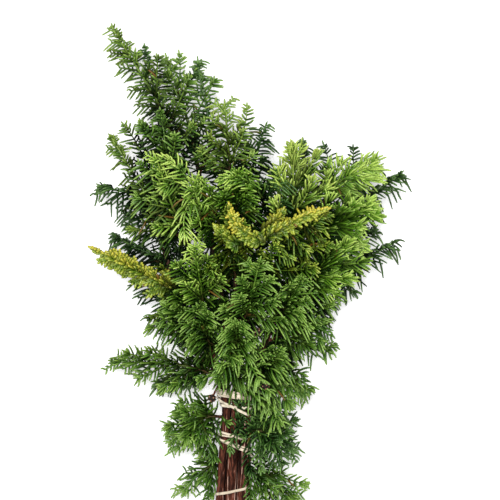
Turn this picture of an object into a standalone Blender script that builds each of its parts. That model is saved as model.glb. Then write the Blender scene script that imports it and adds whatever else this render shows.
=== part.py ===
"""A bunch of cut hinoki cypress branches tied with raffia, lying on its back on a flat surface.

Units are metres and +Z is up. +Y runs from the cut stem ends to the tips, and +X is the bunch's
right as it is seen from above. The sizes and places below are measured from the surface under
the middle stem's cut end. The finished bunch is then moved so that its origin is on the surface
in the middle of its footprint.
"""

import math
import random

import bmesh
import bpy
import numpy as np
from mathutils import Matrix, Vector
from mathutils.geometry import interpolate_bezier

FOOTPRINT_MIDDLE = (0.0155, 0.2510, 0.0)

# Clearances
SEAT_GAP = 0.0003      # between a spray's foot and the wood that carries it
NEEDLE_GAP = 0.0009    # kept between a needle and anything of another node
MERGE = 0.00001        # welds a tube's end caps to its side
ROUND_EDGE = math.radians(50)    # edges flatter than this are shaded as one round surface

# Woody stems
STEM_SIDES = 8
STEM_STEP = 0.028      # spacing of the rings along a stem
STEM_TIP_RADIUS = 0.0020
NECK = 0.135           # where the tie pulls the stems together and they start to thin out
TAPER = 0.7            # the power by which a stem thins out; below 1 it thins early
CUT_SLANT = 0.7        # how far a cut end leans, as a slope
TWIG_STUB = 0.0060     # bare side twig between a stem and its spray
STUB_RADIUS = 0.0016
STUB_SIDES = 6
FLARE = 1.3            # how much thicker a side twig is where it leaves the stem
FOOT_BLOCK = 0.0024    # the square foot of a spray
BRANCH_LEAN = math.radians(42)   # the least angle between a stem and a side branch
BRANCH_EASE = 0.75     # a branch starts closer to the stem than its tip lies
FOOT_HANDLE = 0.35     # share of a branch's reach over which it keeps its first heading
TIP_HANDLE = 0.30      # and over which it keeps its last one

# Sprays: a flat core with side twigs, both edged with needles that are drawn out of their sides
SEGMENT = 0.0080       # between two rings of a core
CORE_HALF_WIDTHS = (0.0014, 0.0022, 0.0018, 0.0010)      # from foot to tip
CORE_HALF_DEPTHS = (0.0014, 0.0018, 0.0015, 0.0009)
LEAST_RINGS = 4
LIMB_MARGIN = 1.2      # room kept round a core or a twig, as a share of its width
TWIG_EVERY = 2         # one segment in so many carries a twig, left and right in turn
TWIG_SEGMENT = 0.0070
TWIG_HALF_WIDTHS = (0.0014, 0.0008)
TWIG_HALF_DEPTHS = (0.0012, 0.0007)
TWIG_LEAN = math.radians(50)
TWIG_LONGEST = 1.1     # length of a twig at the foot of a spray, as a share of its table value
TWIG_SHORTENS = 0.72   # how much of that share a twig at the tip of a spray lacks
NEEDLE_LENGTH = 0.0135
CORE_NEEDLE_LENGTH = 0.0148
NEEDLE_HALF_WIDTH = 0.0012
LEAN_AT_FOOT = math.radians(62)
LEAN_AT_TIP = math.radians(32)
LEAN_ON_TWIG = math.radians(42)
FACE_EVERY = 3         # one segment of a core in so many has a needle on its face or back
MIDDLE_HEIGHT = 0.040  # sprays above this face up and those below it face down
FACE_TILT = 0.2        # how much a spray off to one side turns to that side
LEAST_RISE = 0.03
OUT_OF_PLANE = 0.3     # how far twigs and needles lean out of the flat of their spray
TRIES = 10
BEND = 0.08            # how much more each try turns a needle away
LEAN_EASE = 0.08       # share of its lean that each try takes off a needle
LIFT = 0.4             # how much more each try lifts a twig
SHORTEN = 0.06         # how much each try takes off a twig or a needle
TWIG_START = 0.35      # a twig is tested against its own spray from this share of its length
NEEDLE_START = 0.03    # and so is a needle's edge from this share
OWN_GAP = 0.0002       # kept between the twigs of one spray
WALLS = {"left": (3, 0), "face": (0, 1), "right": (1, 2), "back": (2, 3)}   # a ring's corners
MOST_BARS = 40000
TINY = 1e-18
LEVEL = 1e-10          # cubic metres; an edge and a triangle that span less lie in one plane
SEED = 11

# Raffia
RAFFIA_THICK = 0.0008
RAFFIA_LAYER = 0.0013
RAFFIA_SLACK = 0.0011  # from the stems to the strip where it bends
STATIONS_PER_TURN = 14
KNOT_RADIUS = 0.0032
KNOT_RISE = 0.7        # how far out of the strip the knot's middle is, in knot radii
KNOT_TURN = 0.5        # the knot is half a turn in, on the right

# Seed cones
SEED_CONE_RADIUS = 0.0048
BALL_SHARE = 0.86      # size of the ball that a cone is cut from, as a share of its radius
CORNER_CUT = 0.24      # how far the ball's corners are cut back, in the same way
SHIELD_RISE = 0.0006
EDGE_DROP = 0.526      # how steeply the ball's edges fall away from a corner
SHIELD_REACH = SEED_CONE_RADIUS * (BALL_SHARE - CORNER_CUT * EDGE_DROP) + SHIELD_RISE
CONE_TWIG_RADIUS = 0.0010
CONE_TWIG_SIDES = 5

# Stem name: radius at the cut end, then the points that its centre line runs through
STEMS = {
    "front_left": (0.0040, [
        (-0.0185, -0.017, 0.0130), (-0.0160, 0.055, 0.0205), (-0.0117, 0.108, 0.0300),
        (-0.0095, 0.135, 0.0350), (-0.0150, 0.165, 0.0420), (-0.0270, 0.205, 0.0540),
        (-0.0430, 0.275, 0.0680), (-0.0530, 0.345, 0.0780), (-0.0590, 0.388, 0.0800)]),
    "front_mid": (0.0049, [
        (-0.0065, -0.014, 0.0134), (-0.0055, 0.055, 0.0225), (-0.0015, 0.108, 0.0324),
        (0.0005, 0.135, 0.0375), (0.0010, 0.165, 0.0480), (0.0015, 0.205, 0.0640),
        (0.0000, 0.275, 0.0820), (-0.0020, 0.330, 0.0880), (-0.0050, 0.366, 0.0870)]),
    "front_right": (0.0043, [
        (0.0060, -0.018, 0.0131), (0.0055, 0.055, 0.0215), (0.0088, 0.108, 0.0301),
        (0.0107, 0.135, 0.0350), (0.0170, 0.165, 0.0415), (0.0300, 0.205, 0.0520),
        (0.0570, 0.270, 0.0680), (0.0800, 0.325, 0.0800), (0.0900, 0.348, 0.0840)]),
    "back_left": (0.0042, [
        (-0.0120, -0.015, 0.0038), (-0.0120, 0.010, 0.0038), (-0.0112, 0.060, 0.0115),
        (-0.0099, 0.108, 0.0198), (-0.0092, 0.135, 0.0245), (-0.0175, 0.165, 0.0275),
        (-0.0340, 0.200, 0.0310), (-0.0600, 0.260, 0.0370), (-0.0780, 0.310, 0.0430),
        (-0.0850, 0.335, 0.0460)]),
    "back_mid": (0.0040, [
        (0.0000, -0.016, 0.0036), (0.0000, 0.012, 0.0036), (-0.0005, 0.060, 0.0120),
        (0.0001, 0.108, 0.0203), (0.0005, 0.135, 0.0250), (-0.0010, 0.165, 0.0310),
        (-0.0070, 0.205, 0.0400), (-0.0200, 0.275, 0.0520), (-0.0320, 0.345, 0.0600),
        (-0.0420, 0.398, 0.0620)]),
    "back_right": (0.0044, [
        (0.0125, -0.014, 0.0040), (0.0125, 0.010, 0.0040), (0.0105, 0.060, 0.0115),
        (0.0103, 0.108, 0.0195), (0.0104, 0.135, 0.0240), (0.0190, 0.165, 0.0260),
        (0.0360, 0.200, 0.0280), (0.0720, 0.260, 0.0330), (0.1000, 0.305, 0.0400),
        (0.1120, 0.325, 0.0430)]),
}

# Spray name: stem, where it sits along the bunch (None is the stem's end), its tip, the length
# of its side twigs, and its colour
SPRAYS = {
    "spray_top_plume": ("front_left", None, (-0.123, 0.518, 0.066), 0.037, "green"),
    "spray_top_behind": ("front_left", 0.352, (-0.092, 0.500, 0.040), 0.025, "dark"),
    "spray_top_face": ("front_left", 0.330, (-0.074, 0.432, 0.108), 0.031, "green"),
    "spray_second_plume": ("back_mid", None, (-0.070, 0.489, 0.056), 0.031, "green"),
    "spray_second_right": ("back_mid", 0.372, (-0.038, 0.484, 0.074), 0.029, "dark"),
    "spray_left_plume": ("front_left", 0.300, (-0.125, 0.408, 0.070), 0.034, "green"),
    "spray_left_upper": ("back_left", None, (-0.137, 0.360, 0.052), 0.031, "dark"),
    "spray_left_middle": ("back_left", 0.272, (-0.125, 0.310, 0.008), 0.028, "dark"),
    "spray_left_gold": ("front_left", 0.238, (-0.143, 0.297, 0.088), 0.031, "gold"),
    "spray_left_lower": ("back_left", 0.222, (-0.104, 0.276, 0.050), 0.028, "dark"),
    "spray_left_inner": ("front_left", 0.210, (-0.072, 0.240, 0.080), 0.031, "green"),
    "spray_lime_face": ("front_left", 0.310, (-0.078, 0.386, 0.124), 0.034, "light"),
    "spray_lime_inner": ("front_mid", 0.300, (-0.040, 0.362, 0.128), 0.031, "light"),
    "spray_centre_top": ("front_mid", None, (-0.011, 0.441, 0.078), 0.034, "green"),
    "spray_centre_right": ("front_mid", 0.338, (0.030, 0.420, 0.064), 0.034, "dark"),
    "spray_centre_nod": ("front_mid", 0.318, (0.003, 0.372, 0.134), 0.034, "light"),
    "spray_centre_dark": ("front_mid", 0.290, (0.042, 0.372, 0.112), 0.034, "dark"),
    "spray_right_top": ("front_right", 0.318, (0.067, 0.404, 0.066), 0.031, "dark"),
    "spray_lime_fan": ("front_right", 0.292, (0.056, 0.398, 0.110), 0.034, "light"),
    "spray_lime_wide": ("front_right", None, (0.139, 0.380, 0.100), 0.046, "light"),
    "spray_lime_low": ("front_right", 0.306, (0.134, 0.340, 0.112), 0.037, "light"),
    "spray_right_dark": ("back_right", None, (0.165, 0.372, 0.060), 0.037, "dark"),
    "spray_right_back": ("back_right", 0.286, (0.140, 0.386, 0.032), 0.034, "dark"),
    "spray_right_fork": ("back_right", 0.276, (0.141, 0.318, 0.022), 0.025, "dark"),
    "spray_right_nod": ("back_right", 0.262, (0.162, 0.304, 0.056), 0.031, "dark"),
    "spray_right_face": ("front_right", 0.258, (0.122, 0.304, 0.094), 0.034, "light"),
    "spray_right_low": ("front_right", 0.232, (0.106, 0.274, 0.074), 0.031, "green"),
    "spray_right_under": ("back_right", 0.218, (0.098, 0.243, 0.030), 0.031, "dark"),
    "spray_waist_right": ("front_right", 0.202, (0.088, 0.222, 0.080), 0.031, "green"),
    "spray_waist_tip": ("back_right", 0.190, (0.098, 0.198, 0.046), 0.025, "green"),
    "spray_skirt_right": ("front_right", 0.178, (0.070, 0.150, 0.050), 0.031, "green"),
    "spray_gold_left": ("front_mid", 0.262, (-0.006, 0.334, 0.140), 0.022, "gold"),
    "spray_gold_right": ("front_mid", 0.240, (0.089, 0.333, 0.124), 0.026, "gold"),
    "spray_feather": ("front_left", 0.226, (-0.040, 0.300, 0.122), 0.034, "light"),
    "spray_face_middle": ("front_mid", 0.214, (0.024, 0.286, 0.128), 0.037, "green"),
    "spray_face_right": ("front_right", 0.218, (0.066, 0.268, 0.114), 0.037, "green"),
    "spray_face_left": ("front_left", 0.190, (-0.038, 0.240, 0.106), 0.037, "green"),
    "spray_face_low": ("front_mid", 0.188, (0.000, 0.226, 0.112), 0.037, "green"),
    "spray_collar_right": ("front_right", 0.162, (0.044, 0.198, 0.088), 0.034, "green"),
    "spray_collar_front": ("front_mid", 0.165, (-0.014, 0.184, 0.090), 0.031, "green"),
    "spray_low_plume": ("front_left", 0.165, (-0.125, 0.184, 0.052), 0.034, "green"),
    "spray_low_left": ("back_left", 0.172, (-0.082, 0.158, 0.026), 0.031, "dark"),
    "spray_back_left": ("back_left", 0.296, (-0.066, 0.402, 0.003), 0.040, "dark"),
    "spray_back_middle": ("back_mid", 0.300, (0.012, 0.385, 0.008), 0.040, "dark"),
    "spray_back_right": ("back_right", 0.232, (0.066, 0.345, 0.005), 0.040, "dark"),
    "spray_back_waist": ("back_mid", 0.200, (-0.012, 0.290, 0.008), 0.040, "dark"),
    "spray_lobe_left": ("front_left", 0.126, (-0.068, 0.102, 0.044), 0.042, "green"),
    "spray_lobe_left_low": ("back_left", 0.076, (-0.056, 0.050, 0.028), 0.042, "green"),
    "spray_lobe_right": ("front_right", 0.112, (0.058, 0.092, 0.050), 0.042, "dark"),
    "spray_lobe_right_low": ("back_right", 0.071, (0.060, 0.040, 0.028), 0.042, "green"),
}

# Seed cone name: stem, where its twig leaves the stem, and the middle of the cone
SEED_CONES = {
    "seed_cone_tie": ("front_left", 0.165, (-0.0240, 0.147, 0.0620)),
    "seed_cone_collar": ("front_right", 0.150, (0.0290, 0.160, 0.0760)),
    "seed_cone_face": ("front_mid", 0.198, (0.0210, 0.214, 0.0880)),
}

# Raffia: turns made, place along the bunch, layers of raffia below it, width
TIE = [
    (0.00, 0.1530, 0, 0.0060), (0.50, 0.1440, 0, 0.0060), (1.00, 0.1390, 0, 0.0036),
    (1.50, 0.1345, 0, 0.0036), (1.62, 0.1360, 1, 0.0036), (2.00, 0.1470, 1, 0.0036),
    (2.50, 0.1225, 1, 0.0036), (3.00, 0.1130, 0, 0.0034), (3.50, 0.1010, 0, 0.0034),
    (4.00, 0.1060, 0, 0.0036), (4.50, 0.0870, 0, 0.0036), (5.00, 0.0460, 0, 0.0036),
    (5.50, 0.0550, 0, 0.0036),
]

COLOURS = {
    "green": (0.085, 0.190, 0.035),
    "dark": (0.035, 0.105, 0.030),
    "light": (0.230, 0.380, 0.060),
    "gold": (0.450, 0.400, 0.040),
    "bark": (0.120, 0.045, 0.025),
    "raffia": (0.720, 0.600, 0.420),
    "seed_cone": (0.160, 0.075, 0.040),
}
ROUGHNESS = {"bark": 0.75, "raffia": 0.6, "seed_cone": 0.8}
LEAF_ROUGHNESS = 0.5


def clear_scene():
    for obj in list(bpy.data.objects):
        bpy.data.objects.remove(obj, do_unlink=True)


def collection_named(name):
    made = bpy.data.collections.new(name)
    bpy.context.scene.collection.children.link(made)
    return made


def material(name):
    made = bpy.data.materials.get(name)
    if made is None:
        made = bpy.data.materials.new(name)
        made.use_nodes = True
        shader = made.node_tree.nodes["Principled BSDF"]
        shader.inputs["Base Color"].default_value = (*COLOURS[name], 1.0)
        shader.inputs["Roughness"].default_value = ROUGHNESS.get(name, LEAF_ROUGHNESS)
        shader.inputs["Metallic"].default_value = 0.0
    return made


def smooth_line(points, step):
    """Points about step apart on a smooth line that runs through the given ones."""
    points = [Vector(p) for p in points]
    ends = [2 * points[0] - points[1], *points, 2 * points[-1] - points[-2]]
    line = []
    for before, start, end, after in zip(ends, ends[1:], ends[2:], ends[3:]):
        count = max(1, round((end - start).length / step))
        handles = start + (end - before) / 6, end - (after - start) / 6
        line += interpolate_bezier(start, *handles, end, count + 1)[:-1]
    return line + [points[-1]]


def place_on(line, y):
    """The point of the line at that distance along the bunch, and the line's direction there."""
    for start, end in zip(line, line[1:]):
        if start.y <= y <= end.y:
            share = (y - start.y) / (end.y - start.y)
            return start.lerp(end, share), (end - start).normalized()
    return line[-1].copy(), (line[-1] - line[-2]).normalized()


def stem_radius(name, y):
    """A stem keeps its thickness up to the tie and then thins out to its tip."""
    thick, points = STEMS[name]
    share = min(1.0, max(0.0, (y - NECK) / (points[-1][1] - NECK)))
    return thick + (STEM_TIP_RADIUS - thick) * share ** TAPER


def mesh_object(name, bm, collection, colour):
    mesh = bpy.data.meshes.new(name)
    bm.to_mesh(mesh)
    bm.free()
    obj = bpy.data.objects.new(name, mesh)
    obj.data.materials.append(material(colour))
    collection.objects.link(obj)
    return obj


def shade_round(obj):
    obj.data.shade_smooth()
    obj.data.set_sharp_from_angle(angle=ROUND_EDGE)
    return obj


def tube(name, points, radii, sides, collection, colour):
    """A closed round tube, made as a bevelled curve and turned into a welded mesh."""
    curve = bpy.data.curves.new(name, "CURVE")
    curve.dimensions = "3D"
    curve.bevel_depth = 1.0
    curve.bevel_resolution = (sides - 4) // 2
    curve.use_fill_caps = True
    spline = curve.splines.new("POLY")
    spline.points.add(len(points) - 1)
    for knot, point, radius in zip(spline.points, points, radii):
        knot.co = (*point, 1.0)
        knot.radius = radius
    guide = bpy.data.objects.new(name + "_guide", curve)
    collection.objects.link(guide)
    graph = bpy.context.evaluated_depsgraph_get()
    mesh = bpy.data.meshes.new_from_object(guide.evaluated_get(graph))
    bpy.data.objects.remove(guide)
    bpy.data.curves.remove(curve)
    bm = bmesh.new()
    bm.from_mesh(mesh)
    bpy.data.meshes.remove(mesh)
    bmesh.ops.remove_doubles(bm, verts=bm.verts, dist=MERGE)
    bmesh.ops.recalc_face_normals(bm, faces=bm.faces)
    return mesh_object(name, bm, collection, colour)


def cone(name, start, end, radius, end_radius, sides, collection, colour):
    """A straight cone, or a blunt one where end_radius isn't 0, from start to end."""
    along = end - start
    turn = along.to_track_quat("Z", "Y").to_matrix().to_4x4()
    bm = bmesh.new()
    bmesh.ops.create_cone(
        bm, cap_ends=True, cap_tris=False, segments=sides, radius1=radius,
        radius2=end_radius, depth=along.length,
        matrix=Matrix.Translation(start + along / 2) @ turn)
    return mesh_object(name, bm, collection, colour)


def apply_modifiers(body):
    graph = bpy.context.evaluated_depsgraph_get()
    mesh = bpy.data.meshes.new_from_object(body.evaluated_get(graph))
    body.modifiers.clear()
    old = body.data
    body.data = mesh
    bpy.data.meshes.remove(old)


def fuse(body, pieces):
    """Joins the pieces to the body in one Boolean union, and removes them."""
    if not pieces:
        return body
    joined = collection_named(body.name + "_pieces")
    for piece in pieces:
        for home in list(piece.users_collection):
            home.objects.unlink(piece)
        joined.objects.link(piece)
    union = body.modifiers.new("union", "BOOLEAN")
    union.operation = "UNION"
    union.operand_type = "COLLECTION"
    union.collection = joined
    union.solver = "EXACT"
    apply_modifiers(body)
    for piece in pieces:
        bpy.data.meshes.remove(piece.data)
    bpy.data.collections.remove(joined)
    return body


class Room:
    """The space that is already taken, as round bars, each owned by a limb of a node."""

    def __init__(self):
        self.bars = np.zeros((MOST_BARS, 8))
        self.nodes = np.zeros(MOST_BARS, dtype=int)
        self.limbs = np.zeros(MOST_BARS, dtype=int)
        self.count = 0
        self.numbers = {}

    def number(self, node):
        return self.numbers.setdefault(node, len(self.numbers))

    def take(self, node, start, end, radius, end_radius=None, limb=0):
        end_radius = radius if end_radius is None else end_radius
        self.bars[self.count] = (*start, *end, radius, end_radius)
        self.nodes[self.count] = self.number(node)
        self.limbs[self.count] = limb
        self.count += 1

    def take_line(self, node, points, radii, limb=0):
        for start, end, radius, next_radius in zip(points, points[1:], radii, radii[1:]):
            self.take(node, start, end, radius, next_radius, limb)

    def least_gap(self, chosen, start, end, radius, end_radius):
        """The least space between this bar and the chosen ones."""
        bars = self.bars[:self.count][chosen]
        if not len(bars):
            return 1.0
        p, q = np.array(start), np.array(end)
        a, b = bars[:, 0:3], bars[:, 3:6]
        d1, d2, r = q - p, b - a, p - a
        len1, len2 = d1 @ d1, (d2 * d2).sum(1)
        c, f, mix = r @ d1, (d2 * r).sum(1), d2 @ d1
        below = np.maximum(len1 * len2 - mix * mix, TINY)
        s = np.clip((mix * f - c * len2) / below, 0, 1)
        t = np.clip((mix * s + f) / len2, 0, 1)
        s = np.clip((mix * t - c) / len1, 0, 1)
        apart = np.linalg.norm((p + s[:, None] * d1) - (a + t[:, None] * d2), axis=1)
        there = bars[:, 6] + t * (bars[:, 7] - bars[:, 6])
        here = radius + s * (end_radius - radius)
        return float((apart - there - here).min())

    def is_free(self, node, start, end, radius, end_radius):
        """Whether a bar keeps clear of every other node."""
        others = self.nodes[:self.count] != self.number(node)
        return self.least_gap(others, start, end, radius, end_radius) > NEEDLE_GAP

    def is_free_at_home(self, node, limb, start, end, radius, end_radius, skip=-1):
        """Whether a bar keeps clear of the other limbs of its own node."""
        limbs = self.limbs[:self.count]
        own = ((self.nodes[:self.count] == self.number(node))
               & (limbs != limb) & (limbs != skip))
        return self.least_gap(own, start, end, radius, end_radius) > OWN_GAP


def spray_axis(line, stem, seat, tip):
    """The stub's start and end on the wood, and the rings' middles along the spray's core."""
    tip = Vector(tip)
    if seat is None:
        root, growth = line[-1].copy(), (line[-1] - line[-2]).normalized()
        stub_end, heading = root, growth
    else:
        root, growth = place_on(line, seat)
        out = (tip - root).normalized()
        lean = max(BRANCH_EASE * growth.angle(out), BRANCH_LEAN)
        away = (out - growth * out.dot(growth)).normalized()
        heading = growth * math.cos(lean) + away * math.sin(lean)
        stub_end = root + heading * (stem_radius(stem, seat) + TWIG_STUB)
    foot = stub_end + heading * SEAT_GAP
    reach = (tip - foot).length
    straight = (tip - foot).normalized()
    axis = interpolate_bezier(
        foot, foot + heading * reach * FOOT_HANDLE, tip - straight * reach * TIP_HANDLE, tip,
        max(LEAST_RINGS, round(reach / SEGMENT) + 1))
    return root, stub_end, axis


def spray_face(axis):
    """The direction that a spray's flat face looks in: the bunch's face or its back."""
    centre = (axis[0] + axis[-1]) / 2
    height = centre.z - MIDDLE_HEIGHT
    rise = math.copysign(max(abs(height), LEAST_RISE), height)
    return Vector((FACE_TILT * centre.x, 0.0, rise)).normalized()


def eased(values, share):
    """The value at that share of a short list."""
    place = share * (len(values) - 1)
    step = min(int(place), len(values) - 2)
    return values[step] + (values[step + 1] - values[step]) * (place - step)


def new_limb(number, points, face, widths, depths):
    """A core or a twig: its rings, the way it faces, and what grows from its sides."""
    last = len(points) - 1
    along = [(points[min(i + 1, last)] - points[max(i - 1, 0)]).normalized()
             for i in range(last + 1)]
    sides = [(d.cross(face)).normalized() for d in along]
    faces = [side.cross(d).normalized() for side, d in zip(sides, along)]
    limb = {"number": number, "points": points, "along": along, "sides": sides,
            "faces": faces, "needles": {}, "twigs": {},
            "widths": [eased(widths, i / last) for i in range(last + 1)],
            "depths": [eased(depths, i / last) for i in range(last + 1)]}
    limb["rings"] = [ring_corners(limb, i) for i in range(last)]
    return limb


def ring_corners(limb, index):
    """The four corners of a limb's ring, in order round it, from its left and its face."""
    middle = limb["points"][index]
    side = limb["sides"][index] * limb["widths"][index]
    face = limb["faces"][index] * limb["depths"][index]
    return [middle + side + face, middle - side + face,
            middle - side - face, middle + side - face]


def wall_corners(limb, segment, way):
    """The corners of one side of a segment, in order round it."""
    first, second = WALLS[way]
    back, front = limb["rings"][segment:segment + 2]
    return [back[first], back[second], front[second], front[first]]


def pyramid(base, tip):
    """The sloping faces and edges of a pyramid, with its edges cut short at the base."""
    triangles = [(base[i - 1], base[i], tip) for i in range(len(base))]
    edges = [(corner.lerp(tip, NEEDLE_START), tip) for corner in base]
    return np.array(triangles), np.array(edges)


def passes_through(edges, triangles):
    """Whether any of the edges passes through any of the triangles."""
    start, along = edges[:, None, 0], (edges[:, 1] - edges[:, 0])[:, None]
    corner = triangles[None, :, 0]
    first, second = triangles[None, :, 1] - corner, triangles[None, :, 2] - corner
    across = np.cross(along, second)
    size = (first * across).sum(-1)
    level = np.abs(size) < LEVEL
    size = np.where(level, 1.0, size)
    offset = start - corner
    turned = np.cross(offset, first)
    u, v = (offset * across).sum(-1) / size, (along * turned).sum(-1) / size
    place = (second * turned).sum(-1) / size
    inside = (u >= 0) & (v >= 0) & (u + v <= 1) & (place >= 0) & (place <= 1)
    return bool((inside & ~level).any())


class Skin:
    """The surface that a spray has so far: its triangles, and the edges that stand out."""

    def __init__(self):
        self.triangles = np.zeros((0, 3, 3))
        self.edges = np.zeros((0, 2, 3))

    def add(self, triangles, edges):
        self.triangles = np.concatenate([self.triangles, triangles])
        self.edges = np.concatenate([self.edges, edges])

    def add_limb(self, limb):
        for segment in range(len(limb["rings"]) - 1):
            for way in WALLS:
                a, b, c, d = wall_corners(limb, segment, way)
                edge = a.lerp(d, NEEDLE_START), d.lerp(a, NEEDLE_START)
                self.add(np.array([(a, b, c), (a, c, d)]), np.array([edge]))
        self.add(*pyramid(limb["rings"][-1], limb["points"][-1]))

    def is_crossed_by(self, triangles, edges):
        return passes_through(edges, self.triangles) or passes_through(self.edges, triangles)


def above_surface(point):
    """The point, or the place right above it on the surface where it is below that."""
    return Vector((point.x, point.y, max(point.z, 0.0)))


def grow_twig(room, name, core, segment, left, reach, draw):
    """A side twig from one segment of a core, or None where it finds no room."""
    along, face = core["along"][segment], core["faces"][segment]
    out = core["sides"][segment] * left
    middle = (core["points"][segment] + core["points"][segment + 1]) / 2
    start = middle + out * core["widths"][segment]
    share = segment / (len(core["points"]) - 1)
    for attempt in range(TRIES):
        lift = face * (draw.uniform(-OUT_OF_PLANE, OUT_OF_PLANE) * (1 + LIFT * attempt))
        aim = along * math.cos(TWIG_LEAN) + (out + lift).normalized() * math.sin(TWIG_LEAN)
        length = reach * (TWIG_LONGEST - TWIG_SHORTENS * share) * (1 - SHORTEN * attempt)
        end = above_surface(start + aim * length)
        first = start.lerp(end, TWIG_START)
        thick, thin = TWIG_HALF_WIDTHS[0] * LIMB_MARGIN, TWIG_HALF_WIDTHS[1]
        if (room.is_free(name, start, end, thick, thin)
                and room.is_free_at_home(name, -1, first, end, thick, thin, skip=0)):
            rings = max(2, round(length / TWIG_SEGMENT))
            points = [start.lerp(end, step / rings) for step in range(rings + 1)]
            number = 1 + len(core["twigs"])
            room.take(name, start, end, thick, thin, number)
            twig = new_limb(number, points, face, TWIG_HALF_WIDTHS, TWIG_HALF_DEPTHS)
            wall = wall_corners(core, segment, "left" if left == 1 else "right")
            twig["rings"][0] = [min(wall, key=lambda c, own=own: (c - own).length)
                                for own in twig["rings"][0]]
            return twig
    return None


def grow_needle(room, skin, name, limb, segment, way, lean, length, draw):
    """The tip of a needle drawn out of one side of a segment, bent until it is clear."""
    along, side, face = (limb[key][segment] for key in ("along", "sides", "faces"))
    back, front = limb["points"][segment], limb["points"][segment + 1]
    flat, across = (side, face) if way in ("left", "right") else (face, side)
    half = limb["widths" if flat is side else "depths"][segment]
    out = flat * (1 if way in ("left", "face") else -1)
    middle = (back + front) / 2
    for attempt in range(TRIES):
        bend = Vector([draw.uniform(-1, 1) for _ in range(3)]) * BEND * attempt
        turn = out + across * draw.uniform(-OUT_OF_PLANE, OUT_OF_PLANE)
        eased_lean = lean * (1 - LEAN_EASE * attempt)
        aim = along * math.cos(eased_lean) + turn.normalized() * math.sin(eased_lean) + bend
        tip = above_surface(middle + aim.normalized() * length * (1 - SHORTEN * attempt))
        if (tip - middle).dot(out) < half * 2:
            continue
        bars = [(root + out * half, tip) for root in (back, middle, front)]
        surface = pyramid(wall_corners(limb, segment, way), tip)
        if (all(room.is_free(name, *bar, NEEDLE_HALF_WIDTH, 0.0) for bar in bars)
                and not skin.is_crossed_by(*surface)):
            for bar in bars:
                room.take(name, *bar, NEEDLE_HALF_WIDTH, 0.0, limb["number"])
            skin.add(*surface)
            limb["needles"][segment, way] = tip
            return


def grow_core_segment(room, name, spray, segment, draw):
    """What grows from one segment of a core: needles to both sides, and now and then a face."""
    core, skin = spray["core"], spray["skin"]
    share = segment / (len(core["points"]) - 1)
    lean = LEAN_AT_FOOT + (LEAN_AT_TIP - LEAN_AT_FOOT) * share
    for way in ("left", "right"):
        if (segment, way) not in core["twigs"]:
            grow_needle(room, skin, name, core, segment, way, lean, CORE_NEEDLE_LENGTH, draw)
    if segment % FACE_EVERY == 1:
        for way in ("face", "back"):
            grow_needle(room, skin, name, core, segment, way, LEAN_ON_TWIG, NEEDLE_LENGTH,
                        draw)


def grow_sprays(room, lines):
    """Lays out every spray: its seat on the wood, its core, its side twigs and its needles."""
    draw = random.Random(SEED)
    sprays = {}
    for name, (stem, seat, tip, reach, colour) in SPRAYS.items():
        root, stub_end, axis = spray_axis(lines[stem], stem, seat, tip)
        core = new_limb(0, axis, spray_face(axis), CORE_HALF_WIDTHS, CORE_HALF_DEPTHS)
        sprays[name] = {"root": root, "stub_end": stub_end, "core": core, "reach": reach,
                        "stem": stem, "seat": seat, "colour": colour, "skin": Skin()}
        room.take_line(name, axis, [width * LIMB_MARGIN for width in core["widths"]])
        if seat is not None:
            room.take(stem, root, stub_end, STUB_RADIUS)
    for name, spray in sprays.items():
        core = spray["core"]
        for turn, segment in enumerate(range(1, len(core["points"]) - 2, TWIG_EVERY)):
            left = 1 if turn % 2 else -1
            twig = grow_twig(room, name, core, segment, left, spray["reach"], draw)
            if twig:
                core["twigs"][segment, "left" if left == 1 else "right"] = twig
        for limb in (core, *core["twigs"].values()):
            spray["skin"].add_limb(limb)
    for step in range(max(len(spray["core"]["points"]) for spray in sprays.values())):
        for name, spray in sprays.items():
            core = spray["core"]
            segment = len(core["points"]) - 3 - step
            if segment >= 1:
                grow_core_segment(room, name, spray, segment, draw)
            for twig in core["twigs"].values():
                segment = len(twig["points"]) - 3 - step
                for way in ("left", "right") if segment >= 0 else ():
                    grow_needle(room, spray["skin"], name, twig, segment, way, LEAN_ON_TWIG,
                                NEEDLE_LENGTH, draw)
    return sprays


def set_corners(ring, limb, index):
    """Moves a four-cornered ring to its place on a limb."""
    middle = ring.calc_center_median()
    side, face = limb["sides"][index], limb["faces"][index]
    order = {(True, True): 0, (False, True): 1, (False, False): 2, (True, False): 3}
    for vertex in ring.verts:
        offset = vertex.co - middle
        quarter = offset.dot(side) > 0, offset.dot(face) > 0
        vertex.co = limb["rings"][index][order[quarter]]


def sides_of(ring, limb, index):
    """The four faces between a ring and the one before it, by the way that they look."""
    found = {}
    for edge in ring.edges:
        face = next(other for other in edge.link_faces if other != ring)
        offset = (edge.verts[0].co + edge.verts[1].co) / 2 - limb["points"][index]
        across, deep = offset.dot(limb["sides"][index]), offset.dot(limb["faces"][index])
        if abs(across) / limb["widths"][index] > abs(deep) / limb["depths"][index]:
            found["left" if across > 0 else "right"] = face
        else:
            found["face" if deep > 0 else "back"] = face
    return found


def draw_to_point(bm, face, tip):
    """Draws a face out to a point."""
    apex = bmesh.ops.poke(bm, faces=[face])["verts"][0]
    apex.co = tip


def build_limb(bm, ring, limb):
    """Draws a limb out of a face, ring by ring, with its needles and its twigs."""
    last = len(limb["points"]) - 1
    for index in range(1, last):
        ring = bmesh.ops.extrude_discrete_faces(bm, faces=[ring])["faces"][0]
        set_corners(ring, limb, index)
        for way, face in sides_of(ring, limb, index).items():
            if (index - 1, way) in limb["twigs"]:
                build_limb(bm, face, limb["twigs"][index - 1, way])
            elif (index - 1, way) in limb["needles"]:
                draw_to_point(bm, face, limb["needles"][index - 1, way])
    draw_to_point(bm, ring, limb["points"][last])


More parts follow.
